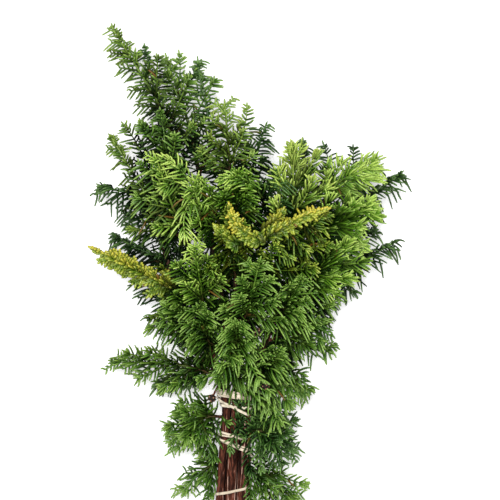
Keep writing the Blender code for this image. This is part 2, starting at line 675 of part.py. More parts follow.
def build_spray(name, spray, collection):
    """One spray, drawn out of the top face of a thin block that sits on its stub."""
    core = spray["core"]
    bm = bmesh.new()
    frame = Matrix((core["sides"][0], core["along"][0], core["faces"][0])).transposed()
    bmesh.ops.create_cube(bm, size=FOOT_BLOCK, matrix=(
        Matrix.Translation(core["points"][0] + core["along"][0] * FOOT_BLOCK / 2)
        @ frame.to_4x4()))
    bm.normal_update()
    top = max(bm.faces, key=lambda f: f.normal.dot(core["along"][0]))
    build_limb(bm, top, core)
    bmesh.ops.recalc_face_normals(bm, faces=bm.faces)
    bmesh.ops.triangulate(bm, faces=bm.faces)
    return mesh_object(name, bm, collection, spray["colour"])


def cone_seat(line, seat, centre):
    """Where a seed cone's twig starts, and where it ends just short of the cone's shield."""
    root, _ = place_on(line, seat)
    out = (centre - root).normalized()
    return root, centre - out * (SHIELD_REACH + SEAT_GAP)


def build_stem(name, line, sprays, cone_twigs, collection):
    """A cut stem with a slanted end, its side twigs, and a flat spot where it lies down."""
    radii = [stem_radius(name, p.y) for p in line]
    stem = tube("stem_" + name, line, radii, STEM_SIDES, collection, "bark")
    foot = line[0]
    for vertex in stem.data.vertices:
        if vertex.co.y < foot.y + radii[0]:
            vertex.co.y += CUT_SLANT * (vertex.co.z - foot.z)
    pieces = [cone(f"{name}_stub", spray["root"], spray["stub_end"], STUB_RADIUS * FLARE,
                   STUB_RADIUS, STUB_SIDES, collection, "bark")
              for spray in sprays.values()
              if spray["stem"] == name and spray["seat"] is not None]
    pieces += [cone(f"{name}_cone_twig", root, end, CONE_TWIG_RADIUS * FLARE,
                    CONE_TWIG_RADIUS, CONE_TWIG_SIDES, collection, "bark")
               for root, end in cone_twigs]
    fuse(stem, pieces)
    bm = bmesh.new()
    bm.from_mesh(stem.data)
    if min(v.co.z for v in bm.verts) < 0.0:
        cut = bmesh.ops.bisect_plane(
            bm, geom=[*bm.verts, *bm.edges, *bm.faces], dist=MERGE, plane_co=(0, 0, 0),
            plane_no=(0, 0, 1), clear_inner=True)
        bmesh.ops.holes_fill(
            bm, edges=[e for e in cut["geom_cut"] if isinstance(e, bmesh.types.BMEdge)])
        bmesh.ops.triangulate(bm, faces=bm.faces)
    bm.to_mesh(stem.data)
    bm.free()
    return shade_round(stem)


def bundle_support(lines, y, width, angle):
    """The middle of the stems at that place, and how far out they reach in one direction."""
    middle = sum((place_on(line, y)[0] for line in lines.values()), Vector()) / len(lines)
    out = Vector((math.cos(angle), 0.0, math.sin(angle)))
    reach = max(
        (place_on(line, edge)[0] - middle).dot(out) + stem_radius(name, edge)
        for name, line in lines.items() for edge in (y - width / 2, y + width / 2))
    return middle, out, reach


def tie_value(turn, column):
    """A column of TIE at that number of turns, eased from one row to the next."""
    for row, following in zip(TIE, TIE[1:]):
        if row[0] <= turn <= following[0]:
            share = (turn - row[0]) / (following[0] - row[0])
            return row[column] + (following[column] - row[column]) * share
    return TIE[-1][column]


def tie_stations(lines):
    """For each station round the tie: its place, its outward direction and its width."""
    count = round(TIE[-1][0] * STATIONS_PER_TURN)
    stations = []
    for step in range(count + 1):
        turn = TIE[-1][0] * step / count
        angle = math.pi - 2 * math.pi * turn
        y, width = tie_value(turn, 1), tie_value(turn, 3)
        middle, out, reach = bundle_support(lines, y, width, angle)
        away = reach + RAFFIA_SLACK + RAFFIA_THICK / 2 + tie_value(turn, 2) * RAFFIA_LAYER
        stations.append((middle + out * away, out, width))
    return stations


def build_tie(stations, collection):
    """One flat strip of raffia, extruded from station to station, with its knot."""
    bm = bmesh.new()
    face = None
    for index, (place, out, width) in enumerate(stations):
        before = stations[max(index - 1, 0)][0]
        after = stations[min(index + 1, len(stations) - 1)][0]
        across = (after - before).cross(out).normalized() * width / 2
        thick = out * RAFFIA_THICK / 2
        corners = [place + across + thick, place - across + thick,
                   place - across - thick, place + across - thick]
        if face is None:
            face = bm.faces.new([bm.verts.new(c) for c in corners])
            ring = list(face.verts)
            continue
        grown = bmesh.ops.extrude_face_region(bm, geom=[face, *face.edges])["geom"]
        new_ring = [g for g in grown if isinstance(g, bmesh.types.BMVert)]
        pairs = {v: min(new_ring, key=lambda n, v=v: (n.co - v.co).length) for v in ring}
        ring = [pairs[v] for v in ring]
        for vertex, corner in zip(ring, corners):
            vertex.co = corner
        face = next(g for g in grown if isinstance(g, bmesh.types.BMFace))
    bmesh.ops.recalc_face_normals(bm, faces=bm.faces)
    strip = mesh_object("raffia_tie", bm, collection, "raffia")
    place, out, _ = stations[round(KNOT_TURN * STATIONS_PER_TURN)]
    knot = bmesh.new()
    bmesh.ops.create_icosphere(
        knot, subdivisions=1, radius=KNOT_RADIUS,
        matrix=Matrix.Translation(place + out * KNOT_RADIUS * KNOT_RISE))
    lump = mesh_object("raffia_knot", knot, collection, "raffia")
    return shade_round(fuse(strip, [lump]))


def build_seed_cone(name, twig_end, centre, collection):
    """A woody cone of a dozen shield scales: a ball with its corners cut and then raised.

    One shield faces the end of the twig that carries the cone.
    """
    turn = (centre - twig_end).to_track_quat("Z", "Y").to_matrix().to_4x4()
    bm = bmesh.new()
    bmesh.ops.create_icosphere(
        bm, subdivisions=1, radius=SEED_CONE_RADIUS * BALL_SHARE,
        matrix=Matrix.Translation(centre) @ turn)
    bmesh.ops.bevel(
        bm, geom=list(bm.verts), offset=SEED_CONE_RADIUS * CORNER_CUT, offset_type="OFFSET",
        segments=1, profile=0.5, affect="VERTICES", material=-1)
    bm.normal_update()
    for shield in [f for f in bm.faces if len(f.verts) == 5]:
        bmesh.ops.translate(bm, vec=shield.normal * SHIELD_RISE, verts=shield.verts)
    bmesh.ops.triangulate(bm, faces=bm.faces)
    return mesh_object(name, bm, collection, "seed_cone")


def main():
    clear_scene()
    bunch = collection_named("hinoki_bunch")
    lines = {name: smooth_line(points, STEM_STEP) for name, (_, points) in STEMS.items()}
    room = Room()
    for name, line in lines.items():
        room.take_line(name, line, [stem_radius(name, p.y) for p in line])
    stations = tie_stations(lines)
    for (place, _, width), (following, _, _) in zip(stations, stations[1:]):
        room.take("raffia_tie", place, following, width / 2)
    place, out, _ = stations[round(KNOT_TURN * STATIONS_PER_TURN)]
    room.take("raffia_tie", place, place + out * KNOT_RADIUS, KNOT_RADIUS)
    cone_twigs = {name: [] for name in STEMS}
    cone_places = {}
    for name, (stem, seat, centre) in SEED_CONES.items():
        centre = Vector(centre)
        root, end = cone_seat(lines[stem], seat, centre)
        cone_twigs[stem].append((root, end))
        cone_places[name] = (end, centre)
        room.take(stem, root, end, CONE_TWIG_RADIUS * FLARE)
        room.take(name, centre, centre + Vector((0, 0, MERGE)), SEED_CONE_RADIUS)
    sprays = grow_sprays(room, lines)
    for name, line in lines.items():
        build_stem(name, line, sprays, cone_twigs[name], bunch)
    build_tie(stations, bunch)
    for name, (twig_end, centre) in cone_places.items():
        build_seed_cone(name, twig_end, centre, bunch)
    for name, spray in sprays.items():
        build_spray(name, spray, bunch)
    for piece in bunch.objects:
        piece.data.transform(Matrix.Translation(FOOTPRINT_MIDDLE).inverted())


main()
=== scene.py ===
import math
import random

import bmesh
import bpy
import numpy as np
from mathutils import Matrix, Vector, noise
from mathutils.geometry import interpolate_bezier


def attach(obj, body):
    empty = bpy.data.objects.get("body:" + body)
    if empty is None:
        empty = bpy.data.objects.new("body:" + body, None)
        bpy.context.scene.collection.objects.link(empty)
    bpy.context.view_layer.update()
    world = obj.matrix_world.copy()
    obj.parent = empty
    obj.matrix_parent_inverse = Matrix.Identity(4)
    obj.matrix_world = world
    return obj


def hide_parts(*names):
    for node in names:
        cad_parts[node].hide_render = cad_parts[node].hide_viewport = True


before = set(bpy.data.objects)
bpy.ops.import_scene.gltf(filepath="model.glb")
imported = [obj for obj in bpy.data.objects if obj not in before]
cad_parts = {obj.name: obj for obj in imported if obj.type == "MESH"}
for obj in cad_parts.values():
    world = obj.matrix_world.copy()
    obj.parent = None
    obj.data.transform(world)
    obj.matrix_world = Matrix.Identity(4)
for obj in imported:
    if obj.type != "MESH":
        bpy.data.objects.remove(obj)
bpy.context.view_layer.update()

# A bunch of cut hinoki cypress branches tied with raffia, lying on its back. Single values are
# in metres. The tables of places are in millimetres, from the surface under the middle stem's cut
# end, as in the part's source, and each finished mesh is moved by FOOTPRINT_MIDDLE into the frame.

PER_METRE = 1000
FOOTPRINT_MIDDLE = Vector((0.0155, 0.2510, 0.0))
UP = Vector((0.0, 0.0, 1.0))
DOWN_THE_BUNCH = Vector((0.0, -1.0, 0.0))  # the way that the foliage hangs when it stands up
SEED = 7  # of the bark
SPRAY_SEEDS = 7000  # of the first spray, and one more for each after it
MERGE = 0.000002

# Stems and their side twigs, as in the part's source
SEAT_GAP = 0.0003  # between a side twig and the spray that it carries
STEM_TIP_RADIUS = 0.0020
NECK = 0.135  # from the tie on, a stem gets thinner
TAPER = 0.7
CUT_SLANT = 0.7
TWIG_STUB = 0.0060  # how far a side twig stands off its stem
STUB_RADIUS = 0.0016
FLARE = 1.3  # how much thicker it is at its foot
BRANCH_LEAN = math.radians(42)
BRANCH_EASE = 0.75
FOOT_HANDLE, TIP_HANDLE = 0.35, 0.30
MIDDLE_HEIGHT = 0.040  # sprays above it face up, and those below it down
FACE_TILT = 0.2
LEAST_RISE = 0.03
# Stem: its radius, and the points that it runs through from its cut end
STEMS = {
    "front_left": (4, [
        (-18.5, -17, 13), (-16, 55, 20.5), (-11.7, 108, 30), (-9.5, 135, 35), (-15, 165, 42),
        (-27, 205, 54), (-43, 275, 68), (-53, 345, 78), (-59, 388, 80)]),
    "front_mid": (4.9, [
        (-6.5, -14, 13.4), (-5.5, 55, 22.5), (-1.5, 108, 32.4), (0.5, 135, 37.5), (1, 165, 48),
        (1.5, 205, 64), (0, 275, 82), (-2, 330, 88), (-5, 366, 87)]),
    "front_right": (4.3, [
        (6, -18, 13.1), (5.5, 55, 21.5), (8.8, 108, 30.1), (10.7, 135, 35), (17, 165, 41.5),
        (30, 205, 52), (57, 270, 68), (80, 325, 80), (90, 348, 84)]),
    "back_left": (4.2, [
        (-12, -15, 3.8), (-12, 10, 3.8), (-11.2, 60, 11.5), (-9.9, 108, 19.8), (-9.2, 135, 24.5),
        (-17.5, 165, 27.5), (-34, 200, 31), (-60, 260, 37), (-78, 310, 43), (-85, 335, 46)]),
    "back_mid": (4, [
        (0, -16, 3.6), (0, 12, 3.6), (-0.5, 60, 12), (0.1, 108, 20.3), (0.5, 135, 25),
        (-1, 165, 31), (-7, 205, 40), (-20, 275, 52), (-32, 345, 60), (-42, 398, 62)]),
    "back_right": (4.4, [
        (12.5, -14, 4), (12.5, 10, 4), (10.5, 60, 11.5), (10.3, 108, 19.5), (10.4, 135, 24),
        (19, 165, 26), (36, 200, 28), (72, 260, 33), (100, 305, 40), (112, 325, 43)]),
}

# Spray: stem, where it sits along the bunch (None is the stem's end), its tip, the length of its
# side twigs, and its colour
SPRAYS = {
    "top_plume": ("front_left", None, (-123, 518, 66), 37, "green"),
    "top_behind": ("front_left", 352, (-92, 500, 40), 25, "dark"),
    "top_face": ("front_left", 330, (-74, 432, 108), 31, "green"),
    "second_plume": ("back_mid", None, (-70, 489, 56), 31, "green"),
    "second_right": ("back_mid", 372, (-38, 484, 74), 29, "dark"),
    "left_plume": ("front_left", 300, (-125, 408, 70), 34, "green"),
    "left_upper": ("back_left", None, (-137, 360, 52), 31, "dark"),
    "left_middle": ("back_left", 272, (-125, 310, 8), 28, "dark"),
    "left_gold": ("front_left", 238, (-143, 297, 88), 31, "gold"),
    "left_lower": ("back_left", 222, (-104, 276, 50), 28, "dark"),
    "left_inner": ("front_left", 210, (-72, 240, 80), 31, "green"),
    "lime_face": ("front_left", 310, (-78, 386, 124), 34, "light"),
    "lime_inner": ("front_mid", 300, (-40, 362, 128), 31, "light"),
    "centre_top": ("front_mid", None, (-11, 441, 78), 34, "green"),
    "centre_right": ("front_mid", 338, (30, 420, 64), 34, "dark"),
    "centre_nod": ("front_mid", 318, (3, 372, 134), 34, "light"),
    "centre_dark": ("front_mid", 290, (42, 372, 112), 34, "dark"),
    "right_top": ("front_right", 318, (67, 404, 66), 31, "dark"),
    "lime_fan": ("front_right", 292, (56, 398, 110), 34, "light"),
    "lime_wide": ("front_right", None, (139, 380, 100), 46, "light"),
    "lime_low": ("front_right", 306, (134, 340, 112), 37, "light"),
    "right_dark": ("back_right", None, (165, 372, 60), 37, "dark"),
    "right_back": ("back_right", 286, (140, 386, 32), 34, "dark"),
    "right_fork": ("back_right", 276, (141, 318, 22), 25, "dark"),
    "right_nod": ("back_right", 262, (162, 304, 56), 31, "dark"),
    "right_face": ("front_right", 258, (122, 304, 94), 34, "light"),
    "right_low": ("front_right", 232, (106, 274, 74), 31, "green"),
    "right_under": ("back_right", 218, (98, 243, 30), 31, "dark"),
    "waist_right": ("front_right", 202, (88, 222, 80), 31, "green"),
    "waist_tip": ("back_right", 190, (98, 198, 46), 25, "green"),
    "skirt_right": ("front_right", 178, (70, 150, 50), 31, "green"),
    "gold_left": ("front_mid", 262, (-6, 334, 140), 22, "gold"),
    "gold_right": ("front_mid", 240, (89, 333, 124), 26, "gold"),
    "feather": ("front_left", 226, (-40, 300, 122), 34, "light"),
    "face_middle": ("front_mid", 214, (24, 286, 128), 37, "green"),
    "face_right": ("front_right", 218, (66, 268, 114), 37, "green"),
    "face_left": ("front_left", 190, (-38, 240, 106), 37, "green"),
    "face_low": ("front_mid", 188, (0, 226, 112), 37, "green"),
    "collar_right": ("front_right", 162, (44, 198, 88), 34, "green"),
    "collar_front": ("front_mid", 165, (-14, 184, 90), 31, "green"),
    "low_plume": ("front_left", 165, (-125, 184, 52), 34, "green"),
    "low_left": ("back_left", 172, (-82, 158, 26), 31, "dark"),
    "back_left": ("back_left", 296, (-66, 402, 3), 40, "dark"),
    "back_middle": ("back_mid", 300, (12, 385, 8), 40, "dark"),
    "back_right": ("back_right", 232, (66, 345, 5), 40, "dark"),
    "back_waist": ("back_mid", 200, (-12, 290, 8), 40, "dark"),
    "lobe_left": ("front_left", 126, (-68, 102, 44), 42, "green"),
    "lobe_left_low": ("back_left", 76, (-56, 50, 28), 42, "green"),
    "lobe_right": ("front_right", 112, (58, 92, 50), 42, "dark"),
    "lobe_right_low": ("back_right", 71, (60, 40, 28), 42, "green"),
}

# How each kind of foliage grows, in metres and degrees: the length of its strands, the angle at
# which they leave their twig, their spacing, the spacing of the twigs, how strongly they hang, and
# their half width
HABIT = ("length", "lean", "every", "twigs", "hang", "width")
HABITS = {kind: dict(zip(HABIT, row)) for kind, row in {
    "green": (0.0175, 58, 0.0048, 0.0210, 0.32, 0.00088),
    "dark": (0.0180, 60, 0.0049, 0.0220, 0.45, 0.00086),
    "light": (0.0200, 38, 0.0040, 0.0165, 0.08, 0.00086),
    "gold": (0.0088, 58, 0.0028, 0.0072, 0.05, 0.00135)}.items()}
# Pale sprays on the face whose strands stand apart, with the dark inside between them
OPEN_COMBS = {"lime_face", "lime_inner", "centre_nod", "feather"}
OPEN_HABIT = {"lean": 56, "every": 0.0054, "twigs": 0.0215, "hang": 0.22, "length": 0.0195}
# The sprays beside the tie fan out more than they hang
LOBES = {"lobe_left", "lobe_left_low", "lobe_right", "lobe_right_low", "low_plume"}
LOBE_HANG = 0.08
GREEN_CORES = {"gold_left", "gold_right"}  # gold only in the fronds laid on their face
# Sprays with old growth inside that has dried brown, and how many of its strands in a hundred
RUSSET = {"centre_dark": 8, "centre_nod": 4, "gold_right": 3, "lime_inner": 4}
FEW_DRY = 1
# Sprays that are paler or deeper than their kind
TONES = {
    "lime_wide": 1.2, "lime_low": 0.2, "lime_fan": -0.2, "right_face": -0.4, "lime_face": 0.2,
    "lime_inner": -0.8, "feather": -0.7, "centre_nod": -0.7, "top_face": 0.2, "face_middle": 0.6,
    "left_inner": -0.8, "left_lower": -0.7, "left_middle": -0.7, "centre_right": -0.6,
    "centre_dark": -0.6, "lobe_right": 0.7, "lobe_right_low": 0.5, "left_upper": -0.7,
    "left_plume": -0.5, "face_low": 0.6, "collar_right": 0.5, "collar_front": 0.5,
    "face_right": 0.6, "face_left": 0.3, "top_plume": -0.1, "second_plume": -0.2,
    "centre_top": 0.1, "low_plume": 0.1}
# Sprays whose young tips have more or less of a yellow flush than chance gives them
FLUSHES = {"top_plume": 0.4, "second_plume": 0.2, "low_plume": 0.3, "centre_top": 0.7,
           "left_plume": 0.5, "lime_fan": 0.8, "lime_wide": 0.3, "lime_face": 0.4}
GOLD_FLUSH = 0.7
GREEN_FLUSH = 0.1  # of the green growth in a gold spray
GREEN_CORE_TONE = -1.0
GREEN_SIDE_TONE = -1.1
LOWER_FLUSH = 0.35  # how much of the flush the growth that hangs down has
HANGS_DOWN = 0.1  # growth that points this much down the bunch hangs
# Fronds that are narrower or wider than their solid, as a share of its width
NARROWED = {
    "lime_wide": 0.68, "lime_low": 0.68, "right_low": 0.82, "lime_face": 0.8, "left_gold": 0.72,
    "lobe_left": 0.72, "lobe_left_low": 0.62, "lobe_right": 0.64, "lobe_right_low": 0.8,
    "right_dark": 0.8, "right_nod": 0.82, "right_back": 0.8, "left_upper": 0.78,
    "left_plume": 0.72, "left_middle": 0.75, "low_plume": 0.98, "low_left": 0.7,
    "second_right": 0.8, "second_plume": 1.05, "top_plume": 0.95, "top_behind": 1.05,
    "waist_tip": 0.8, "right_top": 0.8, "right_under": 0.75, "skirt_right": 0.68}

# Side plumes of a spray: where one leaves the core, how far it turns away, how far it rises out
# of the flat, and its length and width as shares of the spray's
PLUMES = [
    (0.06, 62, 0.35, 0.42, 0.52), (0.10, -56, -0.10, 0.40, 0.52), (0.20, 40, 0.70, 0.42, 0.50),
    (0.30, -42, 0.60, 0.40, 0.48), (0.42, 34, 0.45, 0.38, 0.46), (0.54, -32, 0.35, 0.34, 0.44),
]
# The sprays at the bunch's edge are single fronds, with small side plumes at the foot alone
EDGE_SPRAYS = {
    "top_plume", "top_behind", "second_plume", "second_right", "left_plume", "left_upper",
    "left_middle", "left_gold", "left_lower", "lime_face", "centre_right", "right_top",
    "lime_wide", "right_dark", "right_back", "right_fork", "right_nod", "right_under", "waist_tip",
    "low_plume", "low_left", "lobe_left_low", "lobe_right_low"}
EDGE_PLUMES = 2
EDGE_SHARE = 0.7
# Side fronds that fill a spray, over the wood, the tie, the face and the back: where one leaves
# the spray's core, the way that it heads, its length and the length of its twigs
DRAPES = {
    "lobe_left": [
        (0.04, (-0.3, -1, 0.2), 36, 15), (0.1, (-0.6, -0.8, 0.4), 34, 15),
        (0.08, (-1, 0.6, 0.2), 34, 12), (0.2, (-1, 0.3, 0.4), 30, 13)],
    "lobe_left_low": [(0.04, (-0.2, -1, 0.3), 40, 14), (0.04, (-0.4, 0.9, 0.3), 28, 14)],
    "lobe_right": [
        (0.03, (0.5, 1, 0.3), 36, 14), (0.1, (0, -1, 0.7), 44, 11),
        (0.02, (-0.9, -0.3, 0.9), 22, 9), (0.02, (0.1, 0.9, 0.9), 24, 12),
        (0.06, (0.9, 0.9, 0.2), 40, 15), (0.2, (0.8, 0.6, 0.3), 26, 14),
        (0.2, (0.5, -0.9, 0.2), 34, 15), (0.15, (1, 0.4, 0.3), 36, 14)],
    "lobe_right_low": [
        (0.06, (0.1, 1, 0.5), 42, 14), (0.06, (0.1, -1, 0.3), 42, 14),
        (0.25, (0.6, -0.8, 0.2), 34, 14), (0.2, (1, -0.2, 0.3), 40, 14)],
    "collar_front": [
        (0.2, (-1, -0.1, 0.4), 34, 14), (0.2, (1, -0.4, 0.4), 44, 14),
        (0.06, (0.9, -0.8, 0.5), 40, 14)],
    "collar_right": [
        (0.05, (0.5, -1, 0.4), 48, 16), (0.1, (0.9, -0.7, 0.4), 40, 16),
        (0.1, (-0.5, 0.7, 0.5), 40, 18)],
    "face_low": [(0.15, (-0.6, -0.8, 0.5), 36, 16), (0.2, (0.6, -0.7, 0.5), 40, 16)],
    "face_left": [(0.2, (0.7, -0.3, 0.5), 40, 18)],
    "face_right": [(0.1, (-0.6, -0.4, 0.5), 40, 18)],
    "skirt_right": [(0.05, (0, -1, 0.4), 36, 16), (0.05, (0.2, 0.9, 0.4), 36, 16)],
    "left_inner": [(0.1, (-0.4, 0.9, 0.4), 46, 18), (0.15, (-0.9, 0.1, 0.4), 46, 18)],
    "left_gold": [(0.06, (0.2, 0.9, 0.5), 40, 16), (0.12, (-0.5, 0.8, 0.1), 36, 14)],
    "gold_right": [
        (0.3, (0.3, -1, 0.4), 26, 11), (0.45, (0.5, -1, 0.3), 24, 10),
        (0.62, (0.6, -1, 0.2), 20, 9), (0.8, (0.8, -1, 0.1), 15, 7)],
    "gold_left": [(0.4, (0.9, -0.5, 0.3), 20, 9), (0.4, (-0.9, -0.4, 0.3), 20, 9)],
    "waist_right": [(0.08, (0.3, 0.9, 0.4), 40, 16)],
    "back_middle": [
        (0.08, (0.9, 0.5, 0.4), 70, 19), (0.08, (-0.9, 0.5, 0.5), 70, 19),
        (0.3, (0.8, 0.7, 0.5), 65, 19), (0.3, (-0.8, 0.7, 0.5), 65, 19),
        (0.05, (0.5, -0.9, 0.2), 60, 19), (0.05, (-0.5, -0.9, 0.2), 60, 19),
        (0.55, (-0.5, 0.8, 0.4), 55, 19), (0.6, (0.6, 0.8, 0.5), 55, 19)],
    "back_waist": [
        (0.5, (0.2, 1, 0.5), 50, 19), (0.6, (-0.9, 0.4, 0.5), 50, 19),
        (0.1, (0.9, 0.3, 0.3), 60, 19), (0.1, (-0.9, 0.3, 0.3), 60, 19),
        (0.35, (0.8, 0.6, 0.4), 60, 19), (0.35, (-0.8, 0.6, 0.4), 60, 19)],
    "back_left": [
        (0.1, (-0.4, 0.8, 0.5), 60, 19), (0.2, (0.9, 0.5, 0.4), 65, 19),
        (0.05, (0.3, -0.9, 0.3), 60, 19), (0.6, (0.4, 0.9, 0.4), 55, 19)],
    "back_right": [
        (0.1, (0.7, 0.7, 0.5), 65, 19), (0.2, (-0.8, 0.6, 0.5), 65, 19),
        (0.05, (-0.5, -0.8, 0.3), 60, 19), (0.4, (0.4, 0.9, 0.6), 60, 19)],
    "lime_wide": [
        (0.1, (0.3, 1, 0.3), 30, 15), (0.2, (1, -0.5, 0.2), 40, 18),
        (0.34, (1, 0.1, 0.2), 34, 16)],
    "lime_low": [(0.08, (0.2, 1, 0.3), 36, 18), (0.22, (0.6, 0.9, 0.2), 34, 18)],
    "top_plume": [(0.2, (0.4, 1, 0.3), 60, 18), (0.42, (0.1, 1, 0.3), 45, 16)],
    "second_plume": [
        (0.2, (0.5, 1, 0.3), 60, 18), (0.35, (-0.4, 1, 0.3), 50, 17),
        (0.5, (0.5, 1, 0.2), 40, 16)],
    "low_plume": [
        (0.05, (0.1, 1, 0.5), 42, 17), (0.1, (-0.3, 1, 0.3), 40, 16),
        (0.2, (-0.9, -0.6, 0.3), 36, 15), (0.3, (-1, 0.5, 0.4), 38, 14),
        (0.42, (-1, -0.4, 0.3), 34, 13), (0.55, (-1, 0.4, 0.2), 30, 12)],
    "lime_fan": [(0.15, (1, 0.2, 0.2), 45, 18), (0.4, (0.9, 0.4, 0.1), 38, 17)],
    "left_middle": [(0.03, (0.1, 1, 0.6), 46, 18), (0.05, (0.6, 0.7, 0.7), 40, 18)],
    "left_lower": [(0.05, (-0.3, 1, 0.5), 44, 18)],
    "left_plume": [(0.04, (0.4, -1, 0.5), 40, 18), (0.45, (0.5, 1, 0.2), 36, 15)],
    "right_back": [(0.1, (-0.6, 1, 0.3), 52, 16), (0.4, (-0.5, 1, 0.2), 36, 15)],
}
# Fronds that lie on the wood, under the raffia or across the bunch's face: start, end, how far
# they bow to the right of their way, the length of their twigs, and how pale and how gold they are
LAID = {
    "lobe_right": [
        ((13, 104, 36.2), (17, 152, 44.8), 3, 12, 0.2, 0),
        ((4, 104, 37.2), (7, 150, 46.4), 3, 11, 0.4, 0),
        ((-1.5, 108, 38), (1.5, 150, 47.8), 3, 10, -0.2, 0),
        ((6, 121, 41.2), (-6, 90, 40), 3, 8.5, 2, 0.3),
        ((16, 124, 35), (36, 144, 46), 3, 15, 0, 0),
        ((13, 114, 37), (17, 66, 35), 3, 11.5, 0.2, 0),
        ((20, 128, 30), (30, 160, 42), 3, 15, -0.6, 0)],
    "lobe_right_low": [
        ((14, 78, 30), (19, 30, 28), 3, 11, -0.3, 0), ((18, 70, 24), (40, 52, 30), 3, 15, 0, 0)],
    "lobe_left": [
        ((-16, 122, 33), (-24, 80, 32), 3, 11.5, -0.4, 0),
        ((-15, 128, 35), (-6, 120, 43), 3, 8, 0.3, 0)],
    "lobe_left_low": [((-19, 84, 24), (-26, 46, 25), 3, 12, -0.5, 0)],
    "collar_front": [
        ((-8, 176, 60), (2, 154, 52), 3, 14, -0.4, 0), ((6, 178, 64), (15, 156, 54), 3, 14, 0, 0)],
    "collar_right": [
        ((18, 168, 56), (34, 136, 56), 3, 16, 0, 0),
        ((22, 150, 46), (42, 122, 46), 3, 16, -0.4, 0)],
    "lime_face": [
        ((-34, 326, 124), (-74, 387, 131), 14, 19, 0.9, 0.5),
        ((-40, 350, 125), (-48, 306, 123), 8, 17, 0.8, 0.6),
        ((-46, 362, 120), (-72, 352, 118), 5, 15, 0.4, 0.3)],
    "centre_nod": [((26, 346, 133), (-16, 362, 137), 12, 16, 0.9, 0.2)],
    "gold_left": [
        ((30, 302, 135), (-6, 338, 140), -11, 9.5, 0.6, 0.9),
        ((8, 300, 128), (-20, 318, 130), -4, 9, -0.2, 0.3)],
    "gold_right": [
        ((30, 306, 134), (89, 335, 130), -4, 9.5, 0.8, 1),
        ((24, 312, 126), (46, 334, 129), 3, 8, -0.9, 0.5),
        ((38, 304, 128), (56, 286, 126), 3, 11, -0.4, 0),
        ((52, 312, 127), (72, 294, 124), 3, 11, -0.6, 0),
        ((68, 320, 126), (86, 304, 122), 3, 10, -0.8, 0)],
    "left_middle": [
        ((-70, 298, 40), (-112, 320, 34), 4, 17, -0.9, 0),
        ((-74, 282, 45), (-108, 298, 44), 4, 16, -0.7, 0)],
    "left_plume": [((-86, 370, 72), (-112, 420, 70), 4, 15, -0.3, 0.4)],
    "right_back": [
        ((95, 358, 40), (88, 402, 40), 3, 15, -0.4, 0),
        ((112, 352, 40), (118, 398, 40), 3, 15, -0.4, 0)],
    "second_plume": [((-60, 450, 58), (-57, 492, 56), 3, 13, 0, 0.2)],
    "centre_top": [
        ((2, 400, 76), (11, 438, 76), 3, 14, 0.1, 0.5),
        ((-15, 356, 80), (-40, 390, 78), 4, 18, -0.8, 0)],
    "centre_right": [
        ((-4, 342, 80), (-16, 402, 68), 4, 19, -0.9, 0),
        ((-3, 345, 80), (10, 404, 68), 4, 19, -0.9, 0)],
    "back_left": [
        ((-72, 300, 40), (-88, 368, 45), 4, 19, -1.2, 0),
        ((-80, 340, 44), (-96, 404, 45), 4, 18, -1, 0)],
    "back_waist": [
        ((-8.5, 215, 42), (30, 262, 46), 4, 20, -1.5, 0),
        ((-13, 238, 46), (34, 290, 50), 4, 20, -1.5, 0),
        ((-16.5, 258, 49), (22, 316, 52), 4, 20, -1.5, 0),
        ((-10, 222, 43), (-48, 262, 46), 4, 20, -1.5, 0),
        ((-15, 250, 48), (-50, 300, 50), 4, 20, -1.5, 0),
        ((-20, 275, 52), (14, 345, 56), 4, 20, -1.5, 0)],
    "back_right": [
        ((45, 215, 30), (60, 275, 40), 4, 20, -1.5, 0),
        ((58, 237, 32), (48, 302, 45), 4, 20, -1.5, 0),
        ((72, 260, 33), (86, 322, 45), 4, 20, -1.5, 0)],
}

# Seed cone: stem, where its twig leaves the stem, and the middle of the cone
SEED_CONES = {
    "seed_cone_tie": ("front_left", 165, (-24, 147, 62)),
    "seed_cone_collar": ("front_right", 150, (29, 160, 76)),
    "seed_cone_face": ("front_mid", 198, (21, 214, 88)),
}
SEED_CONE_RADIUS = 0.0048

# Raffia: turns made, place along the bunch, layers of raffia below it, width
TIE = [
    (0, 153, 0, 4.8), (0.5, 144, 0, 4.8), (1, 139, 0, 2.7), (1.5, 134.5, 0, 2.7),
    (1.62, 136, 1, 2.7), (2, 147, 1, 2.7), (2.5, 122.5, 1, 2.7), (3, 113, 0, 2.4),
    (3.5, 101, 0, 2.4), (4, 106, 0, 2.7), (4.5, 87, 0, 2.7), (5, 46, 0, 2.7), (5.5, 55, 0, 2.7)]

# Colours of the finishes, in thousandths. Each kind of leaf has its shaded old growth, full-grown
# leaf, young tip and the flush on the young.
FULL = 1000
LEAF_COLOURS = {
    "green": ((2, 8, 1), (62, 165, 12), (260, 440, 75), (380, 490, 70)),
    "dark": ((1, 6, 1), (30, 92, 12), (150, 290, 60), (220, 340, 80)),
    "light": ((5, 20, 1), (110, 260, 14), (480, 690, 120), (600, 730, 150)),
    "gold": ((4, 14, 1), (85, 190, 10), (380, 500, 60), (720, 580, 55))}
COLOURS = {
    "dry leaf": (170, 80, 16), "twig": (35, 20, 10), "pale twig": (70, 36, 14),
    "bark crack": (3, 1, 1), "old bark": (36, 11, 6), "red bark": (170, 50, 28),
    "worn bark": (620, 400, 310), "bark knot": (30, 12, 8), "bark in leaves": (10, 10, 4),
    "dirt": (2, 1, 1), "end grain": (330, 190, 85), "pale end grain": (620, 440, 240),
    "ring": (270, 140, 60), "rim": (80, 30, 16), "raffia groove": (560, 430, 270),
    "raffia": (850, 760, 580), "raffia rib": (960, 910, 780), "raffia edge": (420, 240, 90),
    "dry raffia": (330, 160, 55), "shield": (75, 28, 14), "pale shield": (300, 140, 70),
    "worn shield": (460, 290, 180), "cone crack": (12, 6, 4), "board": (860, 860, 860),
    "pale board": (900, 900, 900)}
